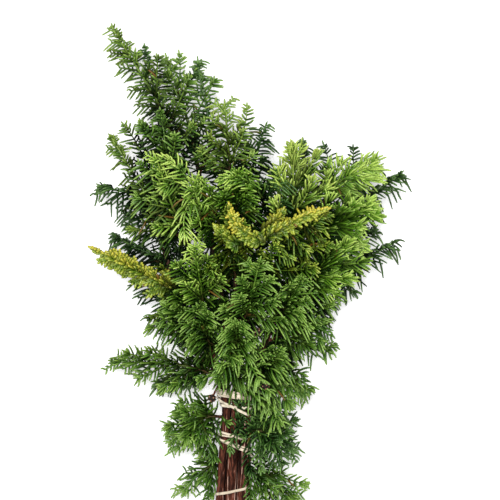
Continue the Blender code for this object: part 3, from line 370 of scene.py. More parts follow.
WHITE = (1.0, 1.0, 1.0, 1.0)
# Noise in a finish: its scale, its share of that scale along the bunch, its detail and roughness
PATCHES = {
    "leaf mottle": (70, 1, 3, 0.55), "leaf grain": (900, 1, 2, 0.55),
    "bark fibres": (700, 0.035, 4, 0.65), "bark strips": (210, 0.06, 2, 0.55),
    "bark knots": (55, 1, 3, 0.55), "end grain": (420, 1, 4, 0.55), "rings": (1300, 0.2, 1, 0.55),
    "raffia stains": (120, 1, 3, 0.55), "shield grain": (620, 1, 4, 0.55),
    "board tooth": (260, 1, 3, 0.55)}
LEAF_SCALE = 0.0021  # length of one pair of scale leaves
FLOOR_GLOW = 0.45  # lights the board from below, so that no hard shadow falls on it


class Wire:
    """A socket in a finish's nodes. Sums written with it add their Math nodes."""

    def __init__(self, finish, socket):
        self.finish = finish
        self.socket = socket

    def maths(self, operation, first, second):
        return self.finish.node("ShaderNodeMath", {"operation": operation},
                                {0: first, 1: second})

    def __add__(self, other):
        return self.maths("ADD", self, other)

    def __radd__(self, other):
        return self.maths("ADD", other, self)

    def __sub__(self, other):
        return self.maths("SUBTRACT", self, other)

    def __rsub__(self, other):
        return self.maths("SUBTRACT", other, self)

    def __mul__(self, other):
        return self.maths("MULTIPLY", self, other)

    def __rmul__(self, other):
        return self.maths("MULTIPLY", other, self)

    def __mod__(self, other):
        return self.maths("FLOORED_MODULO", self, other)


class Finish:
    """A material whose look is made of nodes."""

    def __init__(self, name, **constants):
        self.material = bpy.data.materials.new(name)
        self.material.use_nodes = True
        self.tree = self.material.node_tree
        self.shader = self.tree.nodes["Principled BSDF"]
        for socket, value in constants.items():
            self.shader.inputs[socket.replace("_", " ")].default_value = value

    def node(self, kind, settings=None, sockets=None, output=0):
        """A node of that kind. Its settings are made first, then its sockets."""
        made = self.tree.nodes.new(kind)
        for key, value in (settings or {}).items():
            if key == "stops":
                self.set_stops(made.color_ramp, value)
            else:
                setattr(made, key, value)
        for key, value in (sockets or {}).items():
            if isinstance(value, Wire):
                self.tree.links.new(value.socket, made.inputs[key])
            else:
                made.inputs[key].default_value = value
        return Wire(self, made.outputs[output])

    def set_stops(self, ramp, stops):
        while len(ramp.elements) < len(stops):
            ramp.elements.new(1.0)
        for element, (place, colour) in zip(ramp.elements, stops):
            element.position = place
            element.color = self.coloured(colour)

    def coloured(self, colour):
        """A colour by its name or its three values, as a socket takes it, or a wire as it is."""
        colour = COLOURS.get(colour, colour)
        if isinstance(colour, Wire):
            return colour
        return (*(value / FULL for value in colour), 1.0)

    def value_of(self, name):
        """What the piece's own attribute of that name holds."""
        return self.node("ShaderNodeAttribute", {"attribute_name": name}, output=2)

    def ramp(self, factor, *stops):
        return self.node("ShaderNodeValToRGB", {"stops": stops}, {0: factor})

    def blend(self, factor, first, second):
        """A mix of two colours."""
        return self.node("ShaderNodeMix", {"data_type": "RGBA"}, {
            0: factor, 6: self.coloured(first), 7: self.coloured(second)}, output=2)

    def clamp(self, value):
        return self.node("ShaderNodeClamp", None, {0: value})

    def rise(self, value, start, slope):
        """From 0 where a value is at its start up to 1, as steeply as the slope says."""
        return self.clamp((value - start) * slope)

    def patches(self, name):
        """Noise in the piece's own coordinates, from 0 to 1."""
        scale, along, detail, rough = PATCHES[name]
        places = self.node("ShaderNodeTexCoord", output=3)
        drawn = self.node("ShaderNodeMapping", None, {
            "Vector": places, "Scale": (1.0, along, 1.0)})
        return self.node("ShaderNodeTexNoise", None, {
            "Vector": drawn, "Scale": scale, "Detail": detail, "Roughness": rough})

    def wear(self, colour, roughness, height, strength, distance, coat=None):
        """Links what varies over the surface to the shader."""
        bump = self.node("ShaderNodeBump", None, {
            "Height": height, "Strength": strength, "Distance": distance})
        wires = {"Base Color": colour, "Roughness": roughness, "Normal": bump}
        if coat:
            wires["Coat Weight"] = coat
        for key, wire in wires.items():
            self.tree.links.new(wire.socket, self.shader.inputs[key])
        return self.material


def leaf_finish(kind):
    """Waxy scale leaves: rows of scales along each strand, with painted shade on the strands
    inside the bunch, bright at the tips.
    """
    old, grown, young, flush = LEAF_COLOURS[kind]
    finish = Finish("leaf_" + kind, Specular_IOR_Level=0.05, Coat_Roughness=0.38)
    tip, tone, deep = (finish.value_of(name) for name in ("tip", "tone", "deep"))
    mottle = finish.patches("leaf mottle")
    age = finish.clamp(tip + tone * 0.22 + (mottle - 0.5) * 0.5)
    shaded = tuple((a + b) / 3 for a, b in zip(old, grown))
    # The ramp darkens strand feet and cores towards the near-black old colour: old growth, and
    # painted shade where strands lie under each other
    colour = finish.ramp(age, (0.0, old), (0.30, shaded), (0.62, grown), (1.0, young))
    colour = finish.blend(finish.clamp(finish.value_of("flush") + (mottle - 0.5) * 0.4),
                          colour, flush)
    scale = (finish.value_of("run") * (1 / LEAF_SCALE)) % 1.0
    seam = finish.clamp(1 - scale * 5.0) + finish.rise(scale, start=0.86, slope=7.0) * 0.6
    colour = finish.blend(finish.clamp(seam) * 0.55, colour, old)
    colour = finish.blend(finish.value_of("dry"), colour, "dry leaf")
    # Painted shade: strands inside the bunch are blended towards the near-black old colour
    colour = finish.blend(finish.clamp(deep * 1.25), colour, old)
    grain = finish.patches("leaf grain")
    colour = finish.blend(finish.value_of("wood"), colour,
                          finish.ramp(grain, (0.3, "twig"), (0.7, "pale twig")))
    return finish.wear(
        colour, roughness=0.36 + grain * 0.20 + seam * 0.10, height=grain * 0.3 - seam,
        strength=0.55, distance=0.0003, coat=finish.clamp(age * 1.1 - deep * 1.5) * 0.8)


def bark_finish():
    """Red-brown fibrous bark that peels in long strips, pale where a strip has worn thin, with
    painted shade in the gaps between the stems and under the leaves.
    """
    finish = Finish("bark", Specular_IOR_Level=0.10)
    fibres, strips = finish.patches("bark fibres"), finish.patches("bark strips")
    shade = finish.clamp(fibres * 0.65 + strips * 0.45 + finish.value_of("tone") * 0.13)
    colour = finish.ramp(shade, (0.42, "bark crack"), (0.54, "old bark"), (0.66, "red bark"),
                         (0.76, "worn bark"))
    knots = finish.rise(finish.patches("bark knots"), start=0.60, slope=4.0)
    colour = finish.blend(knots * 0.6, colour, "bark knot")
    # Painted shade: the bark under the leaves is darkened by its wood attribute
    colour = finish.blend(finish.value_of("wood"), colour, "bark in leaves")
    crease = finish.value_of("crease")
    # Painted shade in the gaps between the stems
    colour = finish.blend(finish.clamp(crease * crease * 1.6), colour, "dirt")
    return finish.wear(colour, roughness=0.50 + fibres * 0.35, height=fibres + strips,
                       strength=0.8, distance=0.0006)


def cut_wood_finish():
    """Pale end grain with its rings, darker at its rim."""
    finish = Finish("cut_wood", Specular_IOR_Level=0.25)
    grain, rings = finish.patches("end grain"), finish.patches("rings")
    colour = finish.ramp(grain, (0.30, "end grain"), (0.70, "pale end grain"))
    colour = finish.blend(finish.rise(rings, start=0.45, slope=2.5) * 0.5, colour, "ring")
    colour = finish.blend(finish.clamp(finish.value_of("rim")), colour, "rim")
    return finish.wear(colour, roughness=0.62 + grain * 0.25, height=grain + rings * 0.4,
                       strength=0.5, distance=0.0003)


def raffia_finish():
    """Dry pale leaf fibre with fine lengthwise ribs and brownish edges."""
    finish = Finish("raffia", Specular_IOR_Level=0.4)
    across, along = finish.value_of("across"), finish.value_of("along")
    place = finish.node("ShaderNodeCombineXYZ", None, {0: across * 5.0, 1: along * 14.0})
    ribs = finish.node("ShaderNodeTexNoise", None, {
        "Vector": place, "Scale": 2.4, "Detail": 3.0, "Roughness": 0.6})
    colour = finish.ramp(ribs, (0.28, "raffia groove"), (0.50, "raffia"), (0.72, "raffia rib"))
    edge = finish.rise(across * across, start=0.72, slope=2.6)
    stained = edge + (finish.patches("raffia stains") - 0.60) * 2.2
    colour = finish.blend(finish.clamp(stained) * 0.55, colour, "raffia edge")
    colour = finish.blend(finish.value_of("dry") * 0.75, colour, "dry raffia")
    return finish.wear(colour, roughness=0.42 + ribs * 0.3, height=ribs, strength=0.6,
                       distance=0.0004)


def seed_cone_finish():
    """Dry brown shields with a paler worn rim and dark cracks between them."""
    finish = Finish("seed_cone", Specular_IOR_Level=0.35)
    raised, grain = finish.value_of("raised"), finish.patches("shield grain")
    colour = finish.ramp(grain, (0.30, "shield"), (0.70, "pale shield"))
    worn = finish.rise(raised, start=0.55, slope=2.2)
    colour = finish.blend(worn * 0.7, colour, "worn shield")
    colour = finish.blend(finish.clamp(1 - raised * 3.0), colour, "cone crack")
    return finish.wear(colour, roughness=0.55 + grain * 0.3, height=grain, strength=0.7,
                       distance=0.0004)


def floor_finish():
    """Plain near-white board with a trace of tooth."""
    finish = Finish("floor_board", Specular_IOR_Level=0.1, Emission_Color=WHITE,
                    Emission_Strength=FLOOR_GLOW)
    tooth = finish.patches("board tooth")
    colour = finish.ramp(tooth, (0.0, "board"), (1.0, "pale board"))
    return finish.wear(colour, roughness=0.80 + tooth * 0.1, height=tooth, strength=0.05,
                       distance=0.0002)


def in_metres(point):
    """A place from a table as a vector in metres."""
    return Vector([value / PER_METRE for value in point])


def within(value, low=0.0, high=1.0):
    return min(high, max(low, value))


def between(ends, share):
    """The value at a share of the way from the first of two ends to the second."""
    return ends[0] + (ends[1] - ends[0]) * share


def turned(along, towards, angle):
    """A direction that is turned by an angle from one way towards another."""
    return along * math.cos(angle) + towards * math.sin(angle)


def round_about(angle):
    """The direction at that angle in a slice straight across the bunch."""
    return Vector((math.cos(angle), 0.0, math.sin(angle)))


def above_surface(points, radius):
    """Points of a line of that radius, raised where it would sink into what it lies on."""
    return [Vector((p.x, p.y, max(p.z, radius))) for p in points]


def smooth_line(points, step):
    """Points about step apart on a smooth line that runs through the given ones."""
    ends = [2 * points[0] - points[1], *points, 2 * points[-1] - points[-2]]
    line = []
    for before, start, end, after in zip(ends, ends[1:], ends[2:], ends[3:]):
        count = max(1, round((end - start).length / step))
        handles = start + (end - before) / 6, end - (after - start) / 6
        line += interpolate_bezier(start, *handles, end, count + 1)[:-1]
    return line + [points[-1]]


def stem_line(name, step):
    return smooth_line([in_metres(point) for point in STEMS[name][1]], step)


def place_on(line, y):
    """The point of the line at that distance along the bunch, and its direction there."""
    for start, end in zip(line, line[1:]):
        if start.y <= y <= end.y:
            share = (y - start.y) / (end.y - start.y)
            return start.lerp(end, share), (end - start).normalized()
    return line[-1].copy(), (line[-1] - line[-2]).normalized()


def at_share(axis, share):
    """The place on a line at a share of its points, and its direction there."""
    place = share * (len(axis) - 1)
    index = min(int(place), len(axis) - 2)
    start, end = axis[index], axis[index + 1]
    return start.lerp(end, place - index), (end - start).normalized()


def stem_radius(name, y):
    """A stem keeps its thickness up to the tie and then thins out to its tip."""
    thick, points = STEMS[name]
    share = within((y - NECK) / (points[-1][1] / PER_METRE - NECK))
    return between((thick / PER_METRE, STEM_TIP_RADIUS), share ** TAPER)


AXIS_POINTS = 24


def spray_axis(line, stem, seat, tip):
    """The stub's start and end on the wood, and the points of the spray's core."""
    if seat is None:
        root, heading = line[-1].copy(), (line[-1] - line[-2]).normalized()
        stub_end = root
    else:
        seat /= PER_METRE
        root, growth = place_on(line, seat)
        out = (tip - root).normalized()
        lean = max(BRANCH_EASE * growth.angle(out), BRANCH_LEAN)
        away = (out - growth * out.dot(growth)).normalized()
        heading = turned(growth, away, lean)
        stub_end = root + heading * (stem_radius(stem, seat) + TWIG_STUB)
    foot = stub_end + heading * SEAT_GAP
    reach = (tip - foot).length
    straight = (tip - foot).normalized()
    axis = interpolate_bezier(
        foot, foot + heading * reach * FOOT_HANDLE, tip - straight * reach * TIP_HANDLE, tip,
        AXIS_POINTS)
    return root, stub_end, axis


def spray_face(axis):
    """The direction that a spray's flat face looks in: the bunch's face or its back."""
    centre = (axis[0] + axis[-1]) / 2
    height = centre.z - MIDDLE_HEIGHT
    rise = math.copysign(max(abs(height), LEAST_RISE), height)
    return Vector((FACE_TILT * centre.x, 0.0, rise)).normalized()


def add_object(name, data):
    """A new object in the scene, at the origin."""
    made = bpy.data.objects.new(name, data)
    bpy.context.scene.collection.objects.link(made)
    return made


def finished(bm, name):
    """The mesh of a bmesh that is done with."""
    mesh = bpy.data.meshes.new(name)
    bm.to_mesh(mesh)
    bm.free()
    return mesh


def profile_object(name, corners):
    """A closed outline that a line is given as its section."""
    outline = bpy.data.curves.new(name, "CURVE")
    outline.dimensions = "2D"
    spline = outline.splines.new("POLY")
    spline.points.add(len(corners) - 1)
    for point, (x, y) in zip(spline.points, corners):
        point.co = (x, y, 0.0, 1.0)
    spline.use_cyclic_u = True
    return bpy.data.objects.new(name, outline)


def round_profile(sides):
    turns = [2 * math.pi * corner / sides for corner in range(sides)]
    return [(math.cos(turn), math.sin(turn)) for turn in turns]


def swept(name, corners, lines):
    """One mesh of many lines, each swept with the same section and closed at its ends.

    A line holds its points, their radii, and a list for each attribute. The curve gives the end
    caps first, from the last line back, and then each line's rings.
    """
    outline = profile_object(name + "_section", corners)
    curve = bpy.data.curves.new(name, "CURVE")
    curve.dimensions = "3D"
    curve.bevel_mode = "OBJECT"
    curve.bevel_object = outline
    curve.use_fill_caps = True
    curve.twist_mode = "Z_UP"
    for line in lines:
        spline = curve.splines.new("POLY")
        spline.points.add(len(line["points"]) - 1)
        flat = [value for point in line["points"] for value in (*point, 1.0)]
        spline.points.foreach_set("co", flat)
        spline.points.foreach_set("radius", line["radii"])
    guide = add_object(name + "_guide", curve)
    graph = bpy.context.evaluated_depsgraph_get()
    mesh = bpy.data.meshes.new_from_object(guide.evaluated_get(graph))
    bpy.data.objects.remove(guide)
    bpy.data.curves.remove(curve)
    bpy.data.objects.remove(outline)
    mesh.name = name
    for key in lines[0]:
        if key in ("points", "radii"):
            continue
        caps = [line[key][end] for line in reversed(lines) for end in (-1, 0)]
        rings = [value for line in lines for value in line[key]]
        made = mesh.attributes.new(key, "FLOAT", "POINT")
        made.data.foreach_set("value", np.repeat(np.array(caps + rings), len(corners)))
    return mesh


def joined(name, meshes):
    """One mesh of several, each keeping its attributes."""
    bm = bmesh.new()
    for mesh in meshes:
        bm.from_mesh(mesh)
        bpy.data.meshes.remove(mesh)
    return finished(bm, name)


def tidy_mesh(mesh):
    """Closes the seams, turns the faces outwards and keeps the mesh above the surface."""
    bm = bmesh.new()
    bm.from_mesh(mesh)
    bmesh.ops.remove_doubles(bm, verts=bm.verts, dist=MERGE)
    bmesh.ops.recalc_face_normals(bm, faces=bm.faces)
    for vertex in bm.verts:
        vertex.co.z = max(vertex.co.z, 0.0)
    bm.to_mesh(mesh)
    bm.free()
    mesh.shade_smooth()


def show(name, mesh, materials, node):
    """Puts a finished mesh into the frame in place of its CAD node."""
    mesh.transform(Matrix.Translation(-FOOTPRINT_MIDDLE))
    for material in materials:
        mesh.materials.append(material)
    piece = add_object(name, mesh)
    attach(piece, "root")
    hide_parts(node)


# Fronds: shares of a frond's length, and pairs of values at the start and the end of a line
COMB_REACH = 0.020  # a frond narrower than this has no twigs, only strands on its core
COMB_FILL = 1.15  # how much of its width the strands of such a frond reach
TWIGS_START, TWIGS_END = 0.05, 0.95
GOLD_TWIGS_END = 0.80  # from here on a gold frond is a plain comb
STRANDS_START, STRANDS_END = 0.02, 0.99
TIP_SHARE = 0.68  # from here on a frond is young: its strands are short and crowded
TWIGS_CROWD, STRANDS_CROWD = 0.75, 0.65
END_STRAND = 0.008  # the last strand, half of it on the core
END_STRAND_TIPS = (0.8, 1.0)
CORE_TAPER = (1.0, 0.4)
CORE_TIPS = (0.2, 0.9)  # how young a core is
WOOD_FADES = 2.2  # how soon a core turns from wood to green
TWIG_LEAN = math.radians(56)
TWIG_LEANS = (1.12, 0.62)
TWIG_REACH = (1.02, 0.40)
TWIG_TURNS = 0.16  # how far a twig bends towards its frond's tip
TWIG_HANGS = 0.8
TWIG_WOOD = 0.5
TWIG_FOOT_TIPS = (0.10, 0.50)  # how young a twig is at its foot, by its place on the frond
TWIG_END_TIPS = (0.50, 0.92)
LEAST_STEPS = 2
RANKS = ((1, 0.7), (-1, 0.3))  # strands to the right and the left, and where in each step
STRAND_STEPS = (0.0, 0.25, 0.5, 0.75, 1.0)
STRAND_SHAPE = (0.80, 1.0, 1.0, 0.94, 0.55)
STRAND_CURVE = 0.36  # how far a strand turns towards its twig's tip
STRAND_LENGTHS = (1.10, 0.60)
YOUNG_SHORTER = 0.50
STRAND_TIPS = (-0.25, 0.42)  # how much younger a strand is than its foot on the twig; the darker foot is partly painted shade
STRAND_FLUSH = 0.3
DRY_UNTIL = 0.5  # strands past it are too young to be dry
BESIDE_TIPS = ((0.15, 0.50), 0.8)
BESIDE_LENGTHS = 0.6
FACE_STRANDS = 0.45  # how often a strand stands out of the frond's face
# How far chance spreads the tone of a frond, a twig and a strand
FROND_TONES, TWIG_TONES, STRAND_TONES = 0.5, 0.4, 0.5
# What chance makes of a value: the least and the most
VARIES = {
    "flush": (0.0, 0.15), "twig gap": (0.85, 1.15), "twig rise": (-0.45, 0.45),
    "twig lean": (0.85, 1.15), "twig length": (0.55, 1.08), "strand gap": (0.75, 1.25),
    "strand lean": (0.8, 1.2), "strand rise": (-0.28, 0.28), "strand nod": (-0.35, 0.25),
    "strand spread": (-0.25, 0.35), "strand length": (0.62, 1.15), "strand width": (0.85, 1.1),
    "dryness": (0.4, 1.0), "face strand": (-0.8, 0.8), "plume turn": (0.8, 1.2),
    "plume rise": (0.6, 1.3), "plume length": (0.85, 1.15), "scale": (0.0, LEAF_SCALE)}
SIDE_TURNS = 0.25  # how far a side frond's end turns towards its spray's tip
SIDE_HANGS = 0.5
SIDE_HANDLES = (0.4, 0.2)
LAID_HANDLES = (0.35, 0.7)
DRAPE_TURNS = 0.3
LEAF_PROFILE = ((1.12, 0.0), (0.0, 0.62), (-1.12, 0.0), (0.0, -0.62))


class Spray:
    """The strands of one spray as they are laid out: a main frond and its side fronds."""

    def __init__(self, name, line, draw):
        stem, seat, tip, reach, self.kind = SPRAYS[name]
        self.name, self.stem, self.draw, self.reach = name, stem, draw, reach / PER_METRE
        self.root, self.stub_end, self.axis = spray_axis(line, stem, seat, in_metres(tip))
        self.face = spray_face(self.axis)
        self.habit = HABITS[self.kind]
        if name in OPEN_COMBS:
            self.habit = {**self.habit, **OPEN_HABIT}
        if name in LOBES:
            self.habit = {**self.habit, "hang": LOBE_HANG}
        self.flush = GOLD_FLUSH if self.kind == "gold" else self.vary("flush")
        self.flush = FLUSHES.get(name, self.flush)
        self.tone = TONES.get(name, 0.0)
        self.lines = []

    def vary(self, what):
        return self.draw.uniform(*VARIES[what])

    def flush_facing(self, way):
        """The yellow flush of growth that points that way, less where it hangs down."""
        return self.flush * (1.0 if way.dot(DOWN_THE_BUNCH) < HANGS_DOWN else LOWER_FLUSH)

    def shares(self, start, end, gap, crowd, what):
        """Places along a frond, one after another, which crowd near its tip."""
        share = start
        while share < end:
            yield share
            share += gap * (crowd if share > TIP_SHARE else 1.0) * self.vary(what)

    def lay(self, root, aim, bend, length, width, tips, tone, flush=0.0, wood=0.0, dry=0.0):
        """One strand, from its root along aim, bent more and more towards its end."""
        steps, first = STRAND_STEPS, self.vary("scale")
        points = [root + (aim + bend * t) * (length * t) for t in steps]
        self.lines.append({
            "points": above_surface(points, width),
            "radii": [width * share for share in STRAND_SHAPE],
            "tip": [between(tips, t) for t in steps],
            "run": [first + length * t for t in steps],
            "tone": [tone] * len(steps),
            "flush": [flush * t for t in steps],
            "wood": [wood] * len(steps),
            "dry": [dry] * len(steps)})

    def grow_core(self, axis, length, thick, wooden):
        """A woody core, green towards its tip."""
        count = len(axis)
        shares = [index / (count - 1) for index in range(count)]
        self.lines.append({
            "points": above_surface(axis, thick),
            "radii": [thick * between(CORE_TAPER, share) for share in shares],
            "tip": [between(CORE_TIPS, share) for share in shares],
            "run": [length * share for share in shares],
            "tone": [0.0] * count,
            "flush": [self.flush * share for share in shares],
            "wood": [max(0.0, wooden - share * WOOD_FADES) for share in shares],
            "dry": [0.0] * count})

    def grow_frond(self, axis, reach, thick, wooden):
        """A flat frond along a line: twigs to both sides in turn, and strands beside it."""
        draw, habit = self.draw, self.habit
        length = sum((b - a).length for a, b in zip(axis, axis[1:]))
        self.grow_core(axis, length, thick, wooden)
        tone = self.tone + draw.gauss(0.0, FROND_TONES)
        comb = reach <= COMB_REACH
        stop = 0.0 if comb else TWIGS_END
        if habit is HABITS["gold"]:
            stop = GOLD_TWIGS_END
        side = draw.choice((-1, 1))
        for share in self.shares(TWIGS_START, stop, habit["twigs"] / length / 2, TWIGS_CROWD,
                                 "twig gap"):
            self.grow_twig(axis, share, side, reach, tone)
            side = -side
        size = min(1.0, reach * COMB_FILL / habit["length"]) if comb else 1.0
        for share in self.shares(STRANDS_START, STRANDS_END, habit["every"] / length,
                                 STRANDS_CROWD, "strand gap"):
            self.grow_beside(axis, share, tone, size)
        end, along = at_share(axis, 1.0)
        self.lay(end - along * (END_STRAND / 2), along, Vector(), END_STRAND, habit["width"],
                 END_STRAND_TIPS, tone, self.flush)

    def grow_twig(self, axis, share, side, reach, tone):
        """A side twig with its own strands to both sides and one at its end."""
        habit = self.habit
        root, along = at_share(axis, share)
        across = along.cross(self.face).normalized()
        lift = self.face * self.vary("twig rise")
        lean = TWIG_LEAN * between(TWIG_LEANS, share) * self.vary("twig lean")
        aim = turned(along, (across * side + lift).normalized(), lean)
        length = reach * between(TWIG_REACH, share) * self.vary("twig length")
        bend = along * TWIG_TURNS + DOWN_THE_BUNCH * habit["hang"] * TWIG_HANGS
        tone += self.draw.gauss(0.0, TWIG_TONES)
        tips = between(TWIG_FOOT_TIPS, share), between(TWIG_END_TIPS, share)
        flush = self.flush_facing(aim)
        self.lay(root, aim, bend, length, habit["width"], tips, tone, flush * share,
                 max(0.0, TWIG_WOOD - share))
        every = habit["every"] * (TWIGS_CROWD if share > TIP_SHARE else 1.0)
        steps = max(LEAST_STEPS, round(length / every))
        in_plane = aim.cross(self.face).normalized()
        for step in range(steps):
            for rank, lead in RANKS:
                part = (step + lead) / steps
                base = root + (aim + bend * part) * (length * part)
                heading = (aim + bend * (2 * part)).normalized()
                self.grow_strand(base, heading, in_plane * rank, part, share, tone, tips,
                                 flush)

    def grow_strand(self, base, heading, out, part, share, tone, tips, flush, size=1.0):
        """One strand beside a twig. The strands near a frond's tip are short."""
        habit = self.habit
        lean = math.radians(habit["lean"]) * self.vary("strand lean")
        turn = (out + self.face * self.vary("strand rise")).normalized()
        aim = turned(heading, turn, lean)
        bend = (heading - aim) * STRAND_CURVE + DOWN_THE_BUNCH * habit["hang"]
        bend += self.face * self.vary("strand nod") + out * self.vary("strand spread")
        young = max(0.0, share - TIP_SHARE) / (1 - TIP_SHARE)
        length = habit["length"] * size * between(STRAND_LENGTHS, part)
        length = length * (1 - YOUNG_SHORTER * young) * self.vary("strand length")
        start = between(tips, part)
        dried = self.draw.random() * 100 < RUSSET.get(self.name, FEW_DRY)
        dry = self.vary("dryness") if share < DRY_UNTIL and dried else 0.0
        self.lay(base, aim, bend, length, habit["width"] * self.vary("strand width"),
                 (start + STRAND_TIPS[0], min(1.0, start + STRAND_TIPS[1])),
                 tone + self.draw.gauss(0.0, STRAND_TONES), flush * (STRAND_FLUSH + share),
                 0.0, dry)

    def grow_beside(self, axis, share, tone, size):
        """Strands straight from the core to both sides, and now and then out of its face."""
        root, along = at_share(axis, share)
        across = along.cross(self.face).normalized()
        ways = [across, -across]
        if self.draw.random() < FACE_STRANDS:
            ways.append((self.face + across * self.vary("face strand")).normalized())
        foot, end = BESIDE_TIPS
        for out in ways:
            self.grow_strand(root, along, out, share * BESIDE_LENGTHS, share, tone,
                             (between(foot, share), end), self.flush_facing(out), size)

    def grow_side_frond(self, root, aim, along, length, reach):
        """A smaller frond from root along aim, which turns towards along and hangs a little."""
        hang = DOWN_THE_BUNCH * self.habit["hang"] * SIDE_HANGS
        end = root + (aim + along * SIDE_TURNS + hang) * length
        leaves, arrives = SIDE_HANDLES
        axis = interpolate_bezier(root, root + aim * length * leaves,
                                  end - along * length * arrives, end, AXIS_POINTS // 2)
        self.grow_frond(axis, reach, thick=0.0010, wooden=0.5)

    def grow_plume(self, share, turn, rise, long, wide):
        """A side plume: a smaller frond that leaves the core and curves back beside it."""
        root, along = at_share(self.axis, share)
        across = along.cross(self.face).normalized()
        aim = turned(along, across, math.radians(turn * self.vary("plume turn")))
        aim = (aim + self.face * rise * self.vary("plume rise")).normalized()
        length = (self.axis[-1] - self.axis[0]).length * long * self.vary("plume length")
        self.grow_side_frond(root, aim, along, length, self.reach * wide)

    def grow_laid(self, start, end, bow, reach):
        """A frond that lies face up from one place to another."""
        start, end = in_metres(start), in_metres(end)
        aside = (end - start).cross(UP).normalized() * (bow / PER_METRE)
        handles = [start.lerp(end, share) + aside for share in LAID_HANDLES]
        axis = interpolate_bezier(start, *handles, end, AXIS_POINTS // 2)
        self.grow_frond(axis, reach / PER_METRE, thick=0.0009, wooden=0.4)

    def grow(self):
        """Lays out the whole spray."""
        if self.name in GREEN_CORES:
            self.habit, self.flush, self.tone = HABITS["green"], GREEN_FLUSH, GREEN_CORE_TONE
        self.grow_frond(self.axis, self.reach * NARROWED.get(self.name, 1.0), thick=0.0016,
                        wooden=1.0)
        flip = self.draw.choice((-1, 1))
        if self.kind == "gold":
            self.habit, self.flush, self.tone = HABITS["green"], GREEN_FLUSH, GREEN_SIDE_TONE
        plumes, size = PLUMES, 1.0
        if self.name in EDGE_SPRAYS:
            plumes, size = PLUMES[:EDGE_PLUMES], EDGE_SHARE
        for share, turn, rise, long, wide in plumes:
            self.grow_plume(share, turn * flip, rise, long * size, wide * size)
        for share, way, length, reach in DRAPES.get(self.name, ()):
            root, along = at_share(self.axis, share)
            self.grow_side_frond(root, Vector(way).normalized(), along * DRAPE_TURNS,
                                 length / PER_METRE, reach / PER_METRE)
        self.face = UP
        for *course, self.tone, self.flush in LAID.get(self.name, ()):
            if self.kind == "gold":
                self.habit = HABITS["gold" if self.flush > 0 else "green"]
            self.grow_laid(*course)


CELL = 0.006  # squares in which the depth of the foliage is taken
DEPTH = 0.015  # growth this far inside the foliage gets the full painted shade
LOW_SHARE, TOP_SHARE = 0.15, 0.85  # of the heights in a square, taken as its back and face


def with_beside(grid):
    """Each cell's value and those of the cells beside it, added up."""
    padded = np.pad(grid, 1)
    width, height = grid.shape
    return sum(padded[x:x + width, y:y + height] for x in range(3) for y in range(3))


def spread_over(cells, size, values):
    """A grid of one value for each cell, averaged with the cells beside it that have one."""
    grid, known = np.zeros(size), np.zeros(size)
    grid[cells], known[cells] = values, 1.0
    return with_beside(grid) / np.maximum(with_beside(known), 1.0)


def shade_inside(sprays):
    """Marks how far inside the bunch each strand lies, from 0 at its face or back to 1, as the
    share of painted shade that it gets.
    """
    strands = [line for spray in sprays for line in spray.lines]
    places = np.array([tuple(point) for strand in strands for point in strand["points"]])
    cells = np.floor(places[:, :2] / CELL).astype(int)
    cells -= cells.min(axis=0)
    size = tuple(cells.max(axis=0) + 1)
    order = np.lexsort((places[:, 2], cells[:, 1], cells[:, 0]))
    found, starts, counts = np.unique(cells[order], axis=0, return_index=True,
                                      return_counts=True)
    heights = places[order, 2]
    low, top = (spread_over(tuple(found.T), size, heights[starts + (counts * share).astype(int)])
                for share in (LOW_SHARE, TOP_SHARE))
    here = tuple(cells.T)
    inside = np.minimum(top[here] - places[:, 2], places[:, 2] - low[here]) / DEPTH
    inside = np.clip(inside, 0.0, 1.0)
    first = 0
    for strand in strands:
        last = first + len(strand["points"])
        strand["deep"] = inside[first:last].tolist()
        first = last


def build_spray(spray, materials):
    name = "fronds_" + spray.name
    mesh = swept(name, LEAF_PROFILE, spray.lines)
    tidy_mesh(mesh)
    show(name, mesh, [materials[spray.kind]], "spray_" + spray.name)


LINE_STEP = 0.028  # between the points of a stem that the sprays and the tie are set by
STEM_STEP = 0.004
RIDGE = 0.00045  # depth of the furrows in the bark
FURROWS = ((620, 26, 1.0), (200, 14, 0.8))  # noise across and along the stem, and its share
TUBE_CORE = 0.3  # nearer its middle than this share of its radius, a stem has no bark
CREASE = 0.0050  # bark this near to the next stem gets painted shade
LEAVES_START = 0.15  # from here on the bark is in the shade of the leaves
SHADE_RISES = 9.0
SHADE_MOST = 0.75
END_CAP_TURN = 0.75  # faces that look this far down the bunch are a cut end
END_CAP_REACH = 1.5
STUB_OVERLAP = 0.001  # how far a side twig runs on into its spray
STUB_END = 0.9
# Loose strips of bark
FIBRES = {"front": 26, "back": 14}
FIBRE_RADIUS = 0.00042
FIBRES_FROM, FIBRES_TO = 0.004, 0.24  # from the cut end, and along the bunch
FIBRE_LENGTHS = (0.025, 0.085)
FIBRE_ROOM = 0.03
FIBRE_SHORTEST = 0.01
FIBRE_STEP = 0.007
FIBRE_LIFTS = (0.0, 0.0, 0.0, 0.0012)
FIBRE_LEAST_STEPS = 4
FIBRE_SWAY = (0.35, 3, 5)  # how far, how often along it, and from strip to strip
FIBRE_DRIFT = 0.001
FIBRE_SINK = 0.2
FIBRE_ENDS = (0.12, 0.92)  # of the half turn that its thickness follows
FIBRE_THICK = 1.2
FIBRE_TONES = (0.3, 0.8)  # the middle and the spread


def bark_line(points, radii, tone, shade):
    count = len(points)
    # For bark, the wood attribute holds the painted shade of the leaves over it.
    return {"points": points, "radii": radii, "tone": [tone] * count, "wood": shade,
            "rim": [1.0] * count}


